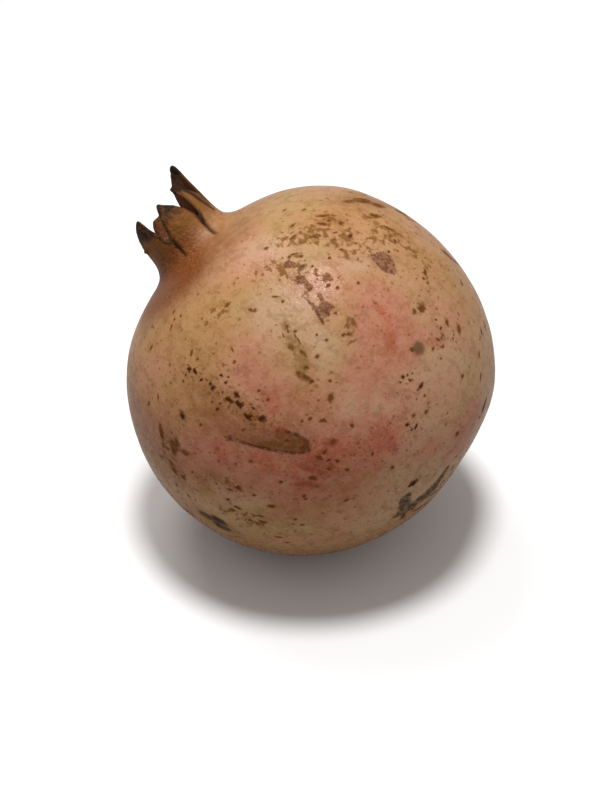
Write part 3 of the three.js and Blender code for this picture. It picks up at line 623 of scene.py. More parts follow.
def clustered_specks(random):
    """The darker specks of the far side, each with how dark it is."""
    specks = []
    for longitude, latitude, count, spread in SPECK_CLUSTERS:
        out, east, north = mark_axes(longitude, latitude, 0.0)
        for _ in range(count):
            x, y = random.normal(0.0, spread / 2.0, 2)
            place = out * BODY_RADIUS + east * x + north * y
            around = math.degrees(math.atan2(place[1], place[0]))
            up = math.degrees(math.asin(place[2] / np.linalg.norm(place)))
            width = random.uniform(*CLUSTERED_WIDTH)
            turn = random.uniform(*SPECK_TURNS)
            length = width * random.uniform(1.0, 1.9)
            specks.append((around, up, length, width, turn, random.uniform(*CLUSTER_DARKNESS)))
    return specks


def speck_layer(mesh, points):
    """For each face corner, its place within the nearest speck, in that speck's half sizes."""
    random = np.random.default_rng(SPECK_SEED + 1)
    specks = [(*speck, 1.0) for speck in DARK_SPECKS]
    specks += [(*speck, BROWN_DARKNESS) for speck in BROWN_SPECKS]
    for speck in scattered_specks(RANDOM_SPECKS, SPECK_SEED):
        specks.append((*speck, random.uniform(*FAINT_DARKNESS)))
    specks += clustered_specks(random)
    corner_points = read(mesh.loops, "vertex_index")
    corner_count = read(mesh.polygons, "loop_total")
    face_of_corner = np.repeat(np.arange(len(mesh.polygons)), corner_count)
    toward = towards(points)
    middles = np.zeros((len(mesh.polygons), 3))
    np.add.at(middles, face_of_corner, toward[corner_points])
    faces = search_tree(middles / corner_count[:, None])
    nearest = np.full(len(middles), SPECK_ROOM)
    chosen = np.full(len(middles), -1)
    for number, (longitude, latitude, length, width, _, _) in enumerate(specks):
        reach = (length + SPECK_ROOM) / BODY_RADIUS
        for _, index, distance in faces.find_range(Vector(direction(longitude, latitude)), reach):
            gap = distance * BODY_RADIUS - width
            if gap < nearest[index]:
                nearest[index] = gap
                chosen[index] = number
    layer = np.tile((9.0, 9.0, 0.0), (len(corner_points), 1))
    speck_of_corner = chosen[face_of_corner]
    in_order = np.argsort(speck_of_corner, kind="stable")
    starts = np.searchsorted(speck_of_corner[in_order], np.arange(len(specks) + 1))
    for number, (longitude, latitude, length, width, turn, darkness) in enumerate(specks):
        own = in_order[starts[number] : starts[number + 1]]
        _, along, across = mark_axes(longitude, latitude, turn)
        place = toward[corner_points[own]] * BODY_RADIUS
        layer[own, 0] = place @ along / length
        layer[own, 1] = place @ across / width
        layer[own, 2] = darkness
    return layer


# The slits between sepals go on down the neck as closed creases, and one runs along the fold of
# the longest sepal. Each widens upwards, by the share given, along a line of places: longitude
# round the crown, and height.
CREASES = (
    (0.12, ((34, 48.3), (33, 46.6), (32, 44.9), (28, 43.0))),
    (0.05, ((-17, 48.3), (-19, 46.3), (-18, 43.8))),
    (0.1, ((64, 54.5), (62, 50.5), (64, 48.0), (68, 46.6))),
    (0.1, ((97, 46.0), (99, 43.5))),
    (0.1, ((157, 46.0), (155, 43.0))),
    (0.1, ((-143, 46.0), (-141, 43.5))),
    (0.1, ((-83, 46.0), (-86, 43.5))),
)


def crease_distance(points):
    """Millimetres from the edge of the nearest crease."""
    height = points[:, 2]
    radius = np.hypot(points[:, 0], points[:, 1] - CROWN_SHIFT)
    longitude = crown_longitude(points)
    near_crown = (radius < 20.0) & (height > NECK_FOOT[0])
    nearest = np.full(len(points), FAR)
    for widening, crease in CREASES:
        lowest = crease[-1][1]
        for (top_turn, top), (low_turn, low) in zip(crease[:-1], crease[1:]):
            x = np.radians((longitude - low_turn + 180.0) % 360.0 - 180.0) * radius
            start = np.array((0.0, low))
            end = np.array((math.radians(top_turn - low_turn) * NECK_RADIUS, top))
            distance, share = line_distance(np.stack((x, height), axis=1), start, end)
            distance -= widening * (low + share * (top - low) - lowest)
            nearest = np.where(near_crown, np.minimum(nearest, distance), nearest)
    return nearest


# How far up each sepal the skin starts to turn dry and dark, counted round from the notch.
DRY_FROM = (0.8, 0.75, 0.95, 0.6, 0.5, 0.6)
DRY_SOFTNESS = 0.22
# The longest sepal is dried along the whole of its outer edge, which is the crown's right outline.
DRIED_EDGE = {"from": 62.0, "to": 112.0, "above": 46.2, "dryness": 0.62}
# The middle sepal's left margin is dried too, in a band.
DRIED_BAND = {"from": -32.0, "to": 2.0, "width": 1.7, "dryness": 0.75}
# The foot of a sepal's inner face stays fresher.
FRESH_INSIDE = 0.65


def sepal_dryness(points, crown):
    """From 0 to 1: how dry and dark each point of the sepals is."""
    turn, height, share = crown_longitude(points), points[:, 2], crown["share"]
    dry_from = np.array(DRY_FROM)[crown["sepal"]]
    dry = smoothstep(share, dry_from - DRY_SOFTNESS, dry_from + DRY_SOFTNESS)
    edge = smoothstep(turn, DRIED_EDGE["from"], DRIED_EDGE["from"] + 5.0)
    edge *= 1.0 - smoothstep(turn, DRIED_EDGE["to"], DRIED_EDGE["to"] + 15.0)
    edge *= smoothstep(height, DRIED_EDGE["above"], DRIED_EDGE["above"] + 2.5)
    dry = np.maximum(dry, DRIED_EDGE["dryness"] * edge)
    band = 1.0 - smoothstep(crown["margin"], 0.3 * DRIED_BAND["width"], DRIED_BAND["width"])
    band *= (turn > DRIED_BAND["from"]) & (turn < DRIED_BAND["to"])
    dry = np.maximum(dry, DRIED_BAND["dryness"] * band)
    dry[height < SEPAL_BASE] = 0.0
    return dry * (1.0 - FRESH_INSIDE * crown["inside"] * (1.0 - smoothstep(share, 0.3, 0.65)))


def make_fruit():
    """The whole fruit, with its crown: refined, uneven, and carrying the layers its material reads."""
    mesh = refined_mesh("fruit")
    points = to_fruit(read(mesh.vertices, "co", float) / MM)
    normals = read(mesh.vertex_normals, "vector", float) @ ATTITUDE
    crown = crown_layers(points, normals)
    in_row = from_fruit(add_relief(points, normals, crown))
    in_row[:, 2] = np.maximum(in_row[:, 2], 0.0)
    mesh.vertices.foreach_set("co", (in_row * MM).ravel())
    store(mesh, "place", points)
    store(mesh, "dry", sepal_dryness(points, crown))
    for name in ("margin", "inside", "crease"):
        store(mesh, name, crown[name])
    for name, patches in PATCHES.items():
        store(mesh, name, soft_patches(points, patches))
    for name, marks in MARKS.items():
        store(mesh, name, edge_distance(points, marks))
    store(mesh, "leaf_scar", outline_distance(points, LEAF_SCAR))
    store(mesh, "speck", speck_layer(mesh, points), "CORNER")
    return add_piece("pomegranate_rind", mesh, "rind", "fruit")


# ---------------------------------------------------------------- stamens, style and stalk
class TubeMesh:
    """Collects tubes of round section, each along its own line, into one mesh."""

    def __init__(self):
        self.points = []
        self.faces = []

    def add(self, line, radii, sides, lobes=0, lobe_depth=0.0):
        """One closed tube. `lobes` furrows of depth `lobe_depth` run along it."""
        line = [Vector(point) for point in line]
        first = len(self.points)
        side = (line[1] - line[0]).normalized().orthogonal().normalized()
        for index, (centre, radius) in enumerate(zip(line, radii)):
            before, after = line[max(index - 1, 0)], line[min(index + 1, len(line) - 1)]
            ahead = (after - before).normalized()
            side = (side - ahead * side.dot(ahead)).normalized()
            other = ahead.cross(side)
            for step in range(sides):
                angle = 2.0 * math.pi * step / sides
                reach = radius * (1.0 - lobe_depth * (0.5 + 0.5 * math.cos(lobes * angle)))
                self.points.append(centre + (side * math.cos(angle) + other * math.sin(angle)) * reach)
        for ring in range(len(line) - 1):
            for step in range(sides):
                low, next_low = first + ring * sides + step, first + ring * sides + (step + 1) % sides
                self.faces.append((low, next_low, next_low + sides, low + sides))
        last = first + (len(line) - 1) * sides
        self.faces.append(tuple(first + step for step in reversed(range(sides))))
        self.faces.append(tuple(last + step for step in range(sides)))


def mesh_from(name, points, faces):
    """Points given in the fruit's frame, and faces, as a mesh in the row frame."""
    points = np.array([tuple(point) for point in points])
    mesh = bpy.data.meshes.new(name)
    mesh.from_pydata((from_fruit(points) * MM).tolist(), [], faces)
    store(mesh, "place", points)
    return mesh


STAMEN_COUNT = 130
STAMEN_SEED = 7
STAMEN_RADIUS = 0.17
STAMEN_STEPS = 6
STAMEN_SIDES = 6
ANTHER_RADIUS = 0.42
ANTHER_SIDES = 10
# Along the anther, and its thickness there, both in anther sizes.
ANTHER_PROFILE = ((-0.3, 0.3), (0.2, 0.85), (0.9, 1.0), (1.6, 0.8), (2.1, 0.25))
STYLE_SIDES = 24
STYLE_PROFILE = (
    (0.0, 0.95), (0.4, 0.9), (1.2, 0.7), (2.4, 0.58), (3.6, 0.5), (4.6, 0.46), (5.2, 0.6),
    (5.6, 0.78), (5.9, 0.66), (6.2, 0.3),
)
ROOT_DEPTH = 0.1


def stamen_line(random):
    """A dry filament that grows from the cup's wall or floor and curls towards the middle."""
    around = random.uniform(0.0, 2.0 * math.pi)
    spread = CUP_RADIUS - 0.5 - 4.2 * random.random() ** 1.4
    out = Vector((math.cos(around), math.sin(around), 0.0))
    foot = out * spread + Vector((0.0, CROWN_SHIFT, CUP_FLOOR - ROOT_DEPTH))
    sideways = Vector((out.y, -out.x, 0.0))
    length = random.uniform(3.8, 6.6)
    lean = random.uniform(0.05, 0.42)
    curl = random.uniform(-0.5, 0.5)
    line = []
    for step in range(STAMEN_STEPS + 1):
        share = step / STAMEN_STEPS
        bend = share * share
        rise = Vector((0.0, 0.0, length * (share - 0.18 * bend)))
        line.append(foot + rise - out * (length * lean * bend) + sideways * (curl * length * 0.5 * bend))
    return line


def make_stamens():
    """The ring of dry stamens inside the crown, each a thread that ends in a two-lobed anther."""
    random = np.random.default_rng(STAMEN_SEED)
    tubes = TubeMesh()
    radii = [STAMEN_RADIUS * (1.15 - 0.4 * step / STAMEN_STEPS) for step in range(STAMEN_STEPS + 1)]
    for _ in range(STAMEN_COUNT):
        line = stamen_line(random)
        tubes.add(line, radii, STAMEN_SIDES)
        ahead = (line[-1] - line[-2]).normalized()
        size = ANTHER_RADIUS * random.uniform(0.8, 1.2)
        anther = [line[-1] + ahead * size * place for place, _ in ANTHER_PROFILE]
        tubes.add(anther, [size * radius for _, radius in ANTHER_PROFILE], ANTHER_SIDES, 2, 0.35)
    mesh = mesh_from("dry_stamens", tubes.points, tubes.faces)
    nodes = [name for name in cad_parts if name.startswith("stamen_")]
    return add_piece("dry_stamens", mesh, "dry_flower", *nodes)


def make_style():
    """The withered style in the middle of the stamens, thick below and ending in a small stigma."""
    tubes = TubeMesh()
    line = []
    for height, _ in STYLE_PROFILE:
        x, y = 0.25 * math.sin(height * 0.7), 0.2 * math.sin(height * 0.9)
        line.append((x, CROWN_SHIFT + y, CUP_FLOOR - ROOT_DEPTH + height))
    tubes.add(line, [radius for _, radius in STYLE_PROFILE], STYLE_SIDES, 6, 0.18)
    mesh = mesh_from("withered_style", tubes.points, tubes.faces)
    return add_piece("withered_style", mesh, "dry_flower", "style")


STUB_SIDES = 96
STUB_RINGS = 30
PITH_RADIUS = 0.7


def make_stalk_stub():
    """The broken woody stub of the stalk: ribbed bark outside, a torn end and a pith hollow."""
    low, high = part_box("stalk_stub")
    middle = to_fruit((np.array(low) + np.array(high)) / 2.0 / MM)
    top = middle[2] + STALK_LENGTH / 2.0 + ROOT_DEPTH
    end = middle[2] - STALK_LENGTH / 2.0
    points, faces = [], []
    for ring in range(STUB_RINGS):
        share = ring / (STUB_RINGS - 1)
        for side in range(STUB_SIDES):
            angle = 2.0 * math.pi * side / STUB_SIDES
            x, y = math.cos(angle), math.sin(angle)
            if share < 0.5:
                radius, height = STALK_RADIUS, top + (end - top) * share / 0.5
            else:
                radius, height = STALK_RADIUS * (1.0 - (share - 0.5) / 0.5) + 0.02, end
            ribs = noise.noise(Vector((x * 5.0, y * 5.0, height * 0.4)))
            radius *= 1.0 + 0.07 * ribs * min(1.0, 2.0 * (1.0 - share))
            torn = noise.noise(Vector((x * radius * 1.6, y * radius * 1.6, 3.0)))
            pith = math.exp(-((radius / PITH_RADIUS) ** 2))
            height += smoothstep(share, 0.35, 0.5) * (0.25 + 0.35 * torn + 0.5 * pith)
            points.append((middle[0] + x * radius, middle[1] + y * radius, height))
    for ring in range(STUB_RINGS - 1):
        for side in range(STUB_SIDES):
            here = ring * STUB_SIDES + side
            beside = ring * STUB_SIDES + (side + 1) % STUB_SIDES
            faces.append((here, here + STUB_SIDES, beside + STUB_SIDES, beside))
    faces.append(tuple(range(STUB_SIDES)))
    faces.append(tuple(len(points) - 1 - side for side in range(STUB_SIDES)))
    mesh = mesh_from("stalk_stub_bark", points, faces)
    return add_piece("stalk_stub_bark", mesh, "dry_stalk", "stalk_stub")


# ---------------------------------------------------------------- materials
class Value:
    """What a node gives out. Arithmetic with values adds the nodes that do it."""

    def __init__(self, nodes, socket):
        self.nodes = nodes
        self.socket = socket

    def __add__(self, other):
        return self.nodes.math("ADD", self, other)

    def __sub__(self, other):
        return self.nodes.math("SUBTRACT", self, other)

    def __mul__(self, other):
        return self.nodes.math("MULTIPLY", self, other)

    def step(self, start, full):
        """0 up to `start`, 1 from `full` on and smooth between, also where `full` is the lower."""
        limits = {"Value": self, "From Min": start, "From Max": full}
        return self.nodes.value("Result", "ShaderNodeMapRange", limits, interpolation_type="SMOOTHSTEP")


class Nodes:
    """A node tree, and short calls that build it."""

    def __init__(self, tree):
        self.tree = tree

    def feed(self, socket, value):
        """Joins a socket to a value, or sets its constant."""
        if isinstance(value, Value):
            self.tree.links.new(value.socket, socket)
        elif socket.type == "RGBA":
            socket.default_value = (*value, 1.0)
        else:
            socket.default_value = value

    def node(self, kind, inputs=(), **settings):
        node = self.tree.nodes.new(kind)
        for name, setting in settings.items():
            setattr(node, name, setting)
        for key, value in dict(inputs).items():
            self.feed(node.inputs[key], value)
        return node

    def value(self, output, kind, inputs=(), **settings):
        return Value(self, self.node(kind, inputs, **settings).outputs[output])

    def math(self, operation, *values):
        return self.value(0, "ShaderNodeMath", enumerate(values), operation=operation)

    def length(self, vector):
        return self.value("Value", "ShaderNodeVectorMath", {0: vector}, operation="LENGTH")

    def stretched(self, vector, factors):
        return self.value(0, "ShaderNodeVectorMath", {0: vector, 1: factors}, operation="MULTIPLY")

    def mix(self, share, first, second):
        """A colour between two."""
        return self.value(2, "ShaderNodeMix", {"Factor": share, 6: first, 7: second}, data_type="RGBA")

    def blend(self, share, first, second):
        """A number between two."""
        return self.value(0, "ShaderNodeMix", {0: share, 2: first, 3: second}, data_type="FLOAT")


class Material(Nodes):
    """A material whose colour is painted coat over coat. Lengths are in millimetres."""

    def __init__(self, name, colour):
        self.material = bpy.data.materials.new(name)
        self.material.use_nodes = True
        super().__init__(self.material.node_tree)
        self.surface = self.tree.nodes["Principled BSDF"].inputs
        self.colour = colour

    @cached_property
    def place(self):
        """Where a point is in the fruit's own frame."""
        return self.value("Vector", "ShaderNodeAttribute", attribute_name="place")

    def layer(self, name):
        """A number kept on the mesh."""
        return self.value("Fac", "ShaderNodeAttribute", attribute_name=name)

    def noise(self, size, detail=3.0, roughness=0.5, distortion=0.0, along=1.0):
        """Noise around 0.5 whose largest features are about `size`, and `size / along` lengthways."""
        inputs = {
            "Vector": self.place if along == 1.0 else self.stretched(self.place, (1.0, 1.0, along)),
            "Scale": 1.0 / size,
            "Detail": detail,
            "Roughness": roughness,
            "Distortion": distortion,
        }
        return self.value("Fac", "ShaderNodeTexNoise", inputs)

    def paint(self, tint, share):
        """Lays a coat over the colours so far, where the share is above 0."""
        self.colour = self.mix(share, self.colour, tint)

    def finish(self, roughness, height=None):
        """Joins up the surface, raised by `height`."""
        self.feed(self.surface["Base Color"], self.colour)
        self.feed(self.surface["Roughness"], roughness)
        if height is not None:
            bump = self.value("Normal", "ShaderNodeBump", {"Height": height, "Distance": MM})
            self.feed(self.surface["Normal"], bump)
        return self.material


TAN = (0.455, 0.228, 0.102)
PALE_TAN = (0.50, 0.275, 0.142)
# Pale skin, also laid as painted sheen and painted light by the pale patches.
PALE_SKIN_AND_PAINTED_LIGHT = (0.53, 0.340, 0.208)
RUDDY = (0.388, 0.137, 0.052)
OCHRE = (0.44, 0.222, 0.078)
YELLOW_GREEN = (0.435, 0.283, 0.118)
PINK = (0.495, 0.187, 0.120)
# Pale pink skin, and a painted sheen where the haze patches lie round the highlight.
PALE_PINK_AND_SHEEN = (0.57, 0.250, 0.158)
RED = (0.440, 0.103, 0.056)
RED_DOT = (0.22, 0.026, 0.012)
RED_SPOT = (0.23, 0.034, 0.014)
TRAIL_BROWN = (0.215, 0.080, 0.022)
NECK = (0.185, 0.046, 0.007)
PALE_NECK = (0.272, 0.096, 0.027)
SEPAL = (0.225, 0.090, 0.018)
INSIDE = (0.17, 0.055, 0.025)
# Dry brown of the sepals, also laid beside the creases as a band of painted shade.
DRY_BROWN_AND_SHADE = (0.090, 0.032, 0.008)
CHAR = (0.022, 0.007, 0.001)
RUSSET = (0.24, 0.100, 0.018)
BLOTCH = (0.190, 0.070, 0.012)
DARK_BLOTCH = (0.120, 0.038, 0.006)
FAINT_SPECK = (0.230, 0.075, 0.012)
BROWN_SPECK = (0.150, 0.044, 0.003)
DARK_SPECK = (0.070, 0.014, 0.001)
PURPLE_BROWN = (0.235, 0.094, 0.048)
DARK_SCAB = (0.125, 0.040, 0.015)
# Painted shade: the near-black inside the slits and creases.
CREASE_SHADE = (0.040, 0.010, 0.002)
LEAF_BROWN = (0.160, 0.054, 0.011)
OLIVE = (0.235, 0.112, 0.028)
GREY_GREEN = (0.105, 0.058, 0.022)
GREY_SCUFF = (0.062, 0.041, 0.026)
FILAMENT = (0.08, 0.035, 0.014)
WORN_FILAMENT = (0.19, 0.095, 0.040)
DARK_FILAMENT = (0.05, 0.022, 0.012)
BARK = (0.085, 0.048, 0.028)
PALE_WOOD = (0.30, 0.19, 0.11)
GREY_BARK = (0.16, 0.12, 0.085)
RIND_SPECULAR = 0.14

# The tints of the skin, in the order they are laid on, and how much each covers where it is full. The pale
# and haze coats also lay painted light and a painted sheen.
SKIN_COATS = (
    ("ruddy", RUDDY, 0.9),
    ("ochre", OCHRE, 0.75),
    ("yellow_green", YELLOW_GREEN, 0.65),
    ("pale_and_painted_light", PALE_SKIN_AND_PAINTED_LIGHT, 0.74),
    ("haze_and_sheen", PALE_PINK_AND_SHEEN, 0.5),
    ("blush", PINK, 0.85),
    ("brown", TRAIL_BROWN, 0.45),
    ("red", RED, 0.7),
)
# How far ragged and fine noise break up each mark's edge, and at what distances from its outline
# the mark starts and is full.
MARK_EDGES = {
    "scab": (1.8, 1.44, 0.35, -0.15),
    "round_scab": (1.35, 1.08, 0.35, -0.2),
    "olive_scar": (1.6, 0.0, 0.5, -0.5),
    "grey_spot": (1.6, 0.0, 0.8, -0.5),
    "blotch": (1.0, 1.2, 0.55, -0.45),
    "red_spot": (1.0, 1.2, 0.6, -0.5),
    "scuff": (1.0, 1.2, 0.6, -0.3),
    "leaf_scar": (1.6, 0.0, 0.5, -0.8),
}
# Marks that lie under the skin's shine.
GLOSSY_MARKS = ("olive_scar", "red_spot")


class Rind(Material):
    """The skin, the neck and the sepals. `masks` says where each kind of mark is, from 0 to 1."""

    def __init__(self):
        super().__init__("pomegranate_rind", TAN)
        self.masks = {}
        self.height = self.value("Z", "ShaderNodeSeparateXYZ", {"Vector": self.place})
        self.ragged = self.noise(2.2, 5.0, 0.65) - 0.5
        self.fine = self.noise(0.6, 4.0, 0.6)

    def fine_dots(self, spacing, radius, crowding):
        """A cover of round dots of one size, with more of them shown where `crowding` is higher."""
        inputs = {"Vector": self.place, "Scale": 1.0 / spacing, "Randomness": 1.0}
        cells = self.node("ShaderNodeTexVoronoi", inputs).outputs
        draw = self.node("ShaderNodeSeparateColor", {"Color": Value(self, cells["Color"])}).outputs
        shown = self.math("LESS_THAN", Value(self, draw["Red"]), crowding)
        size = self.blend(Value(self, draw["Green"]), radius * 0.5 / spacing, radius / spacing)
        return shown * (Value(self, cells["Distance"]) - size).step(0.03, -0.05)

    def paint_skin(self):
        """The skin's colours before any mark: tan, ochre, green and the red blush, with painted sheen and
        painted light in the pale and haze coats.
        """
        self.paint(PALE_TAN, self.noise(16.0).step(0.35, 0.65))
        uneven = (self.noise(5.0, 4.0, 0.6) * 0.9 + self.noise(1.1, 4.0, 0.65) * 0.5 - 0.7) * 1.6
        for name, tint, cover in SKIN_COATS:
            self.paint(tint, (self.layer(name) + uneven).step(0.1, 0.9) * cover)
        self.paint(RED_DOT, self.fine_dots(0.9, 0.36, self.layer("red") * 0.8) * 0.5)
        mottled, grain = self.noise(3.0, 4.0, 0.65), self.noise(0.8, 3.0, 0.7)
        self.paint(RUSSET, mottled.step(0.48, 0.62) * 0.34)
        self.paint(PALE_TAN, mottled.step(0.5, 0.38) * 0.3)
        self.paint(RUDDY, grain.step(0.5, 0.68) * 0.2)
        self.paint(PALE_SKIN_AND_PAINTED_LIGHT, grain.step(0.5, 0.34) * 0.2)

    def paint_crown(self):
        """The neck turns orange-brown, deepest on its lower left where the neck patches add painted shade,
        then the sepals grow darker and olive.
        """
        self.neck = self.math("MAXIMUM", self.height.step(39.0, 44.5) * 0.34, self.layer("neck"))
        self.paint(self.mix(self.fine.step(0.35, 0.7), NECK, PALE_NECK), self.neck)
        self.sepal = (self.height + self.ragged * 5.0).step(45.0, 50.0)
        self.paint(SEPAL, self.sepal)

    def paint_russet(self):
        """A net of corky skin."""
        russet = self.layer("russet")
        above_limit = self.noise(1.6, 4.0, 0.5) - self.blend(russet, 0.76, 0.51)
        self.paint(RUSSET, above_limit.step(-0.08, 0.02) * russet * 0.35)
        self.masks["russet"] = above_limit.step(-0.03, 0.08)
        self.paint(BLOTCH, self.masks["russet"] * 0.75)

    def paint_specks(self):
        """Dots, from hardly seen to dark, and the single specks with ragged edges and stained skin
        round them."""
        crowding, below_crown = self.layer("speckled"), self.height.step(*reversed(NECK_FOOT))
        small = self.fine_dots(0.75, 0.2, self.blend(crowding, 0.05, 0.5)) * 0.6
        medium = self.fine_dots(1.7, 0.38, self.blend(crowding, 0.03, 0.34)) * 0.75
        self.masks["dots"] = self.math("MAXIMUM", small, medium) * below_crown
        self.paint(FAINT_SPECK, self.masks["dots"])
        within = self.value("Vector", "ShaderNodeAttribute", attribute_name="speck")
        darkness = self.value("Z", "ShaderNodeSeparateXYZ", {"Vector": within})
        away = self.length(self.stretched(within, (1.0, 1.0, 0.0)))
        away += self.noise(0.7, 3.0, 0.6) * 2.0 - 1.0
        self.paint(RUSSET, away.step(3.2, 0.8) * darkness * 0.3 * below_crown)
        self.masks["specks"] = away.step(1.8, 0.5) * darkness.step(0.0, 0.8) * below_crown
        tone = self.mix(darkness.step(0.6, 1.0), BROWN_SPECK, DARK_SPECK)
        self.paint(tone, self.masks["specks"])

    def paint_marks(self):
        """Scabs, scars, spots and scuffs, then the dark rim of the leaf's scar."""
        crazed = self.noise(1.0, 3.0, 0.6, 1.0).step(0.4, 0.62)
        blotchy = self.noise(1.6, 4.0, 0.65).step(0.42, 0.58)
        scab_tone, scab_cover = self.mix(crazed, PURPLE_BROWN, DARK_SCAB), self.blend(crazed, 0.7, 0.92)
        leaf_cover = self.blend(blotchy, 0.68, 0.93) * self.blend(self.layer("leaf_fade"), 1.0, 0.25)
        tints = {
            "scab": (scab_tone, scab_cover),
            "round_scab": (scab_tone, scab_cover),
            "olive_scar": (OLIVE, self.blend(blotchy, 0.25, 0.68)),
            "grey_spot": (GREY_GREEN, 0.8),
            "blotch": (self.mix(blotchy, BLOTCH, DARK_BLOTCH), 0.94),
            "red_spot": (RED_SPOT, 0.5),
            "scuff": (GREY_SCUFF, self.blend(blotchy, 0.6, 0.95)),
            "leaf_scar": (LEAF_BROWN, leaf_cover),
        }
        for name, (ragged, fine, start, full) in MARK_EDGES.items():
            edge = self.layer(name) + self.ragged * ragged + (self.fine - 0.5) * fine
            self.masks[name] = edge.step(start, full)
            tint, cover = tints[name]
            self.paint(tint, self.masks[name] * cover)
        from_rim = self.math("ABSOLUTE", self.layer("leaf_scar") + self.ragged * 0.5)
        beads = self.blend(self.noise(0.9, 2.0).step(0.38, 0.55), 0.35, 1.0)
        self.masks["leaf_rim"] = from_rim.step(0.7, 0.15) * beads * self.layer("leaf_rim")
        self.paint(DARK_SPECK, self.masks["leaf_rim"] * 0.9)

    def paint_dry_crown(self):
        """Inside the cup, then the dry margins and tips, and the creases, with painted shade beside and in
        them.
        """
        self.paint(INSIDE, self.layer("inside") * 0.8)
        self.fibres = self.noise(0.8, 4.0, 0.6, along=0.16)
        dryness = self.layer("dry") + ((self.fibres - 0.5) * 0.5 + self.ragged * 1.6)
        at_margin = (self.layer("margin") + self.ragged * 2.0).step(1.0, 0.1)
        at_margin *= self.height.step(45.0, 47.5)
        self.masks["brown"] = self.math("MAXIMUM", dryness.step(0.3, 0.7), at_margin)
        self.paint(DRY_BROWN_AND_SHADE, self.masks["brown"] * 0.9)
        self.paint(CHAR, dryness.step(0.75, 1.05))
        # Painted shade: a soft brown band beside each crease, then a near-black line in the crease itself.
        edge = self.layer("crease") + self.ragged * 0.8
        self.paint(DRY_BROWN_AND_SHADE, edge.step(1.1, 0.1) * 0.45)
        self.masks["crease"] = edge.step(0.5, -0.1)
        self.paint(CREASE_SHADE, self.masks["crease"] * 0.92)

    def relief(self):
        """Leathery pits, and what each mark does to the surface."""
        masks = self.masks
        crust = self.math("MAXIMUM", masks["scab"], masks["round_scab"])
        height = self.noise(3.2) * 0.10 + self.noise(1.0, 4.0, 0.6) * 0.13
        height += self.neck * (self.ragged * 0.5 + self.fine * 0.28)
        height += crust * (self.fine * 0.22 + 0.05)
        height += masks["russet"] * 0.04 + masks["leaf_rim"] * 0.06
        height -= masks["specks"] * 0.06 + masks["olive_scar"] * 0.08
        return height + self.fibres * self.sepal * 0.22

    def roughness(self):
        """Glossy where the skin is whole, and dull where it is corky, dead or dry."""
        dull = self.masks["scab"]
        for name, mask in self.masks.items():
            if name not in GLOSSY_MARKS:
                dull = self.math("MAXIMUM", dull, mask)
        gloss = self.blend(self.noise(1.8).step(0.35, 0.65), 0.15, 0.33)
        skin = self.blend(dull, gloss, 0.85)
        return self.blend(self.neck, self.blend(self.sepal * 0.7, skin, 0.62), 0.34)


def make_rind_material():
    rind = Rind()
    rind.paint_skin()
    rind.paint_crown()
    rind.paint_russet()
    rind.paint_specks()
    rind.paint_marks()
    rind.paint_dry_crown()
    rind.surface["Specular IOR Level"].default_value = RIND_SPECULAR
    return rind.finish(rind.roughness(), rind.relief())


def make_dry_flower_material():
    """Withered filaments: brown threads, paler where they are worn, with a dark grain."""
    flower = Material("dry_flower", FILAMENT)
    mottled = flower.noise(1.6, 4.0, 0.6)
    grain = flower.noise(0.35, 3.0, 0.6, along=0.25)
    flower.paint(WORN_FILAMENT, mottled.step(0.35, 0.65))
    flower.paint(DARK_FILAMENT, grain.step(0.5, 0.7) * 0.6)
    return flower.finish(flower.blend(mottled, 0.6, 0.85), grain * 0.12)


def make_stalk_material():
    """Grey-brown bark with cracks along it, and paler torn wood."""
    stalk = Material("dry_stalk", BARK)
    cracks = stalk.noise(0.9, 5.0, 0.65, along=0.3)
    mottled = stalk.noise(2.0, 4.0, 0.6)
    stalk.paint(PALE_WOOD, cracks.step(0.35, 0.65))
    stalk.paint(GREY_BARK, mottled.step(0.45, 0.7) * 0.6)
    return stalk.finish(stalk.blend(mottled, 0.7, 0.9), cracks * 0.3)


# ---------------------------------------------------------------- stage, light and camera
# Lengths are in metres here.
FLOOR_RADIUS = 6.0
FLOOR_FADE = (0.14, 0.42)
FLOOR_LIT = (0.42, 0.4, 0.37)
FLOOR_SEEN = (0.96, 0.96, 0.96)
FLOOR_SPECULAR = 0.1
FLOOR_ROUGHNESS = 0.9
VIEW_ELEVATION = math.radians(35.0)
CAMERA_DISTANCE = 0.4
LENS = 71.5
PICTURE_SHIFT = (-0.01375, -0.0375)
WHITE = (1.0, 1.0, 1.0)
WORLD_LEVEL = 0.34
KEY_FROM = Vector((0.0, -0.06, 1.2))
KEY_SIZE = 0.28
KEY_POWER = 11.3
SIDE_FROM = Vector((-0.33, 0.418, 0.968))
SIDE_SIZE = 0.5
SIDE_POWER = 2.8
BODY_MIDDLE = Vector(BODY_CENTRE * MM)


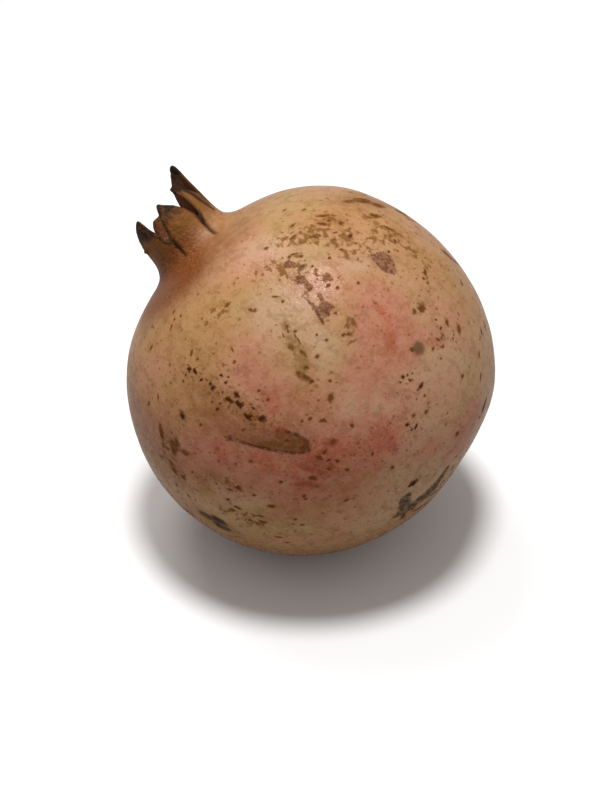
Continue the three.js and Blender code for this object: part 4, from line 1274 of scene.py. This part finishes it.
def make_floor():
    """A plain pale floor. It sends little light back up, so the fruit's underside stays dull.
    Away from the fruit the camera sees it fade into the white backdrop."""
    mesh = bpy.data.meshes.new("floor")
    work = bmesh.new()
    bmesh.ops.create_circle(work, cap_ends=True, segments=64, radius=FLOOR_RADIUS)
    work.to_mesh(mesh)
    work.free()
    paper = Material("floor", FLOOR_LIT)
    seen = paper.value("Is Camera Ray", "ShaderNodeLightPath")
    paper.paint(FLOOR_SEEN, seen)
    away = paper.length(paper.value("Object", "ShaderNodeTexCoord"))
    whole = paper.math("SUBTRACT", 1.0, away.step(*FLOOR_FADE) * seen)
    paper.feed(paper.surface["Alpha"], whole)
    paper.surface["Specular IOR Level"].default_value = FLOOR_SPECULAR
    mesh.materials.append(paper.finish(FLOOR_ROUGHNESS))
    add_object("floor", mesh)


def make_world():
    """Even white light from all round, seen by the camera as a white backdrop."""
    world = bpy.data.worlds.new("studio")
    bpy.context.scene.world = world
    world.use_nodes = True
    nodes = Nodes(world.node_tree)
    background = world.node_tree.nodes["Background"].inputs
    seen = nodes.value("Is Camera Ray", "ShaderNodeLightPath")
    nodes.feed(background["Color"], WHITE)
    nodes.feed(background["Strength"], nodes.blend(seen, WORLD_LEVEL, 1.0))


def aim_at_fruit(thing, away):
    """Places a lamp or a camera away from the middle of the fruit, and turns it to face it."""
    thing.location = BODY_MIDDLE + away
    thing.rotation_mode = "QUATERNION"
    thing.rotation_quaternion = (-away).to_track_quat("-Z", "Y")


def add_softbox(name, away, size, power):
    light = bpy.data.lights.new(name, "AREA")
    light.shape = "DISK"
    light.size = size
    light.energy = power
    aim_at_fruit(add_object(name, light), away)


def make_camera():
    """Looks down by 35 degrees, with the fruit a little left of and above the picture's middle."""
    away = Vector((0.0, -math.cos(VIEW_ELEVATION), math.sin(VIEW_ELEVATION))) * CAMERA_DISTANCE
    camera = bpy.data.cameras.new("camera")
    camera.lens = LENS
    camera.shift_x, camera.shift_y = PICTURE_SHIFT
    camera.clip_start = 0.02
    bpy.context.scene.camera = add_object("camera", camera)
    aim_at_fruit(bpy.context.scene.camera, away)


make_fruit().data.materials.append(make_rind_material())
dry_flower = make_dry_flower_material()
make_stamens().data.materials.append(dry_flower)
make_style().data.materials.append(dry_flower)
make_stalk_stub().data.materials.append(make_stalk_material())

make_floor()
make_world()
add_softbox("key", KEY_FROM, KEY_SIZE, KEY_POWER)
add_softbox("side", SIDE_FROM, SIDE_SIZE, SIDE_POWER)
make_camera()
bpy.context.scene.view_settings.view_transform = "Standard"
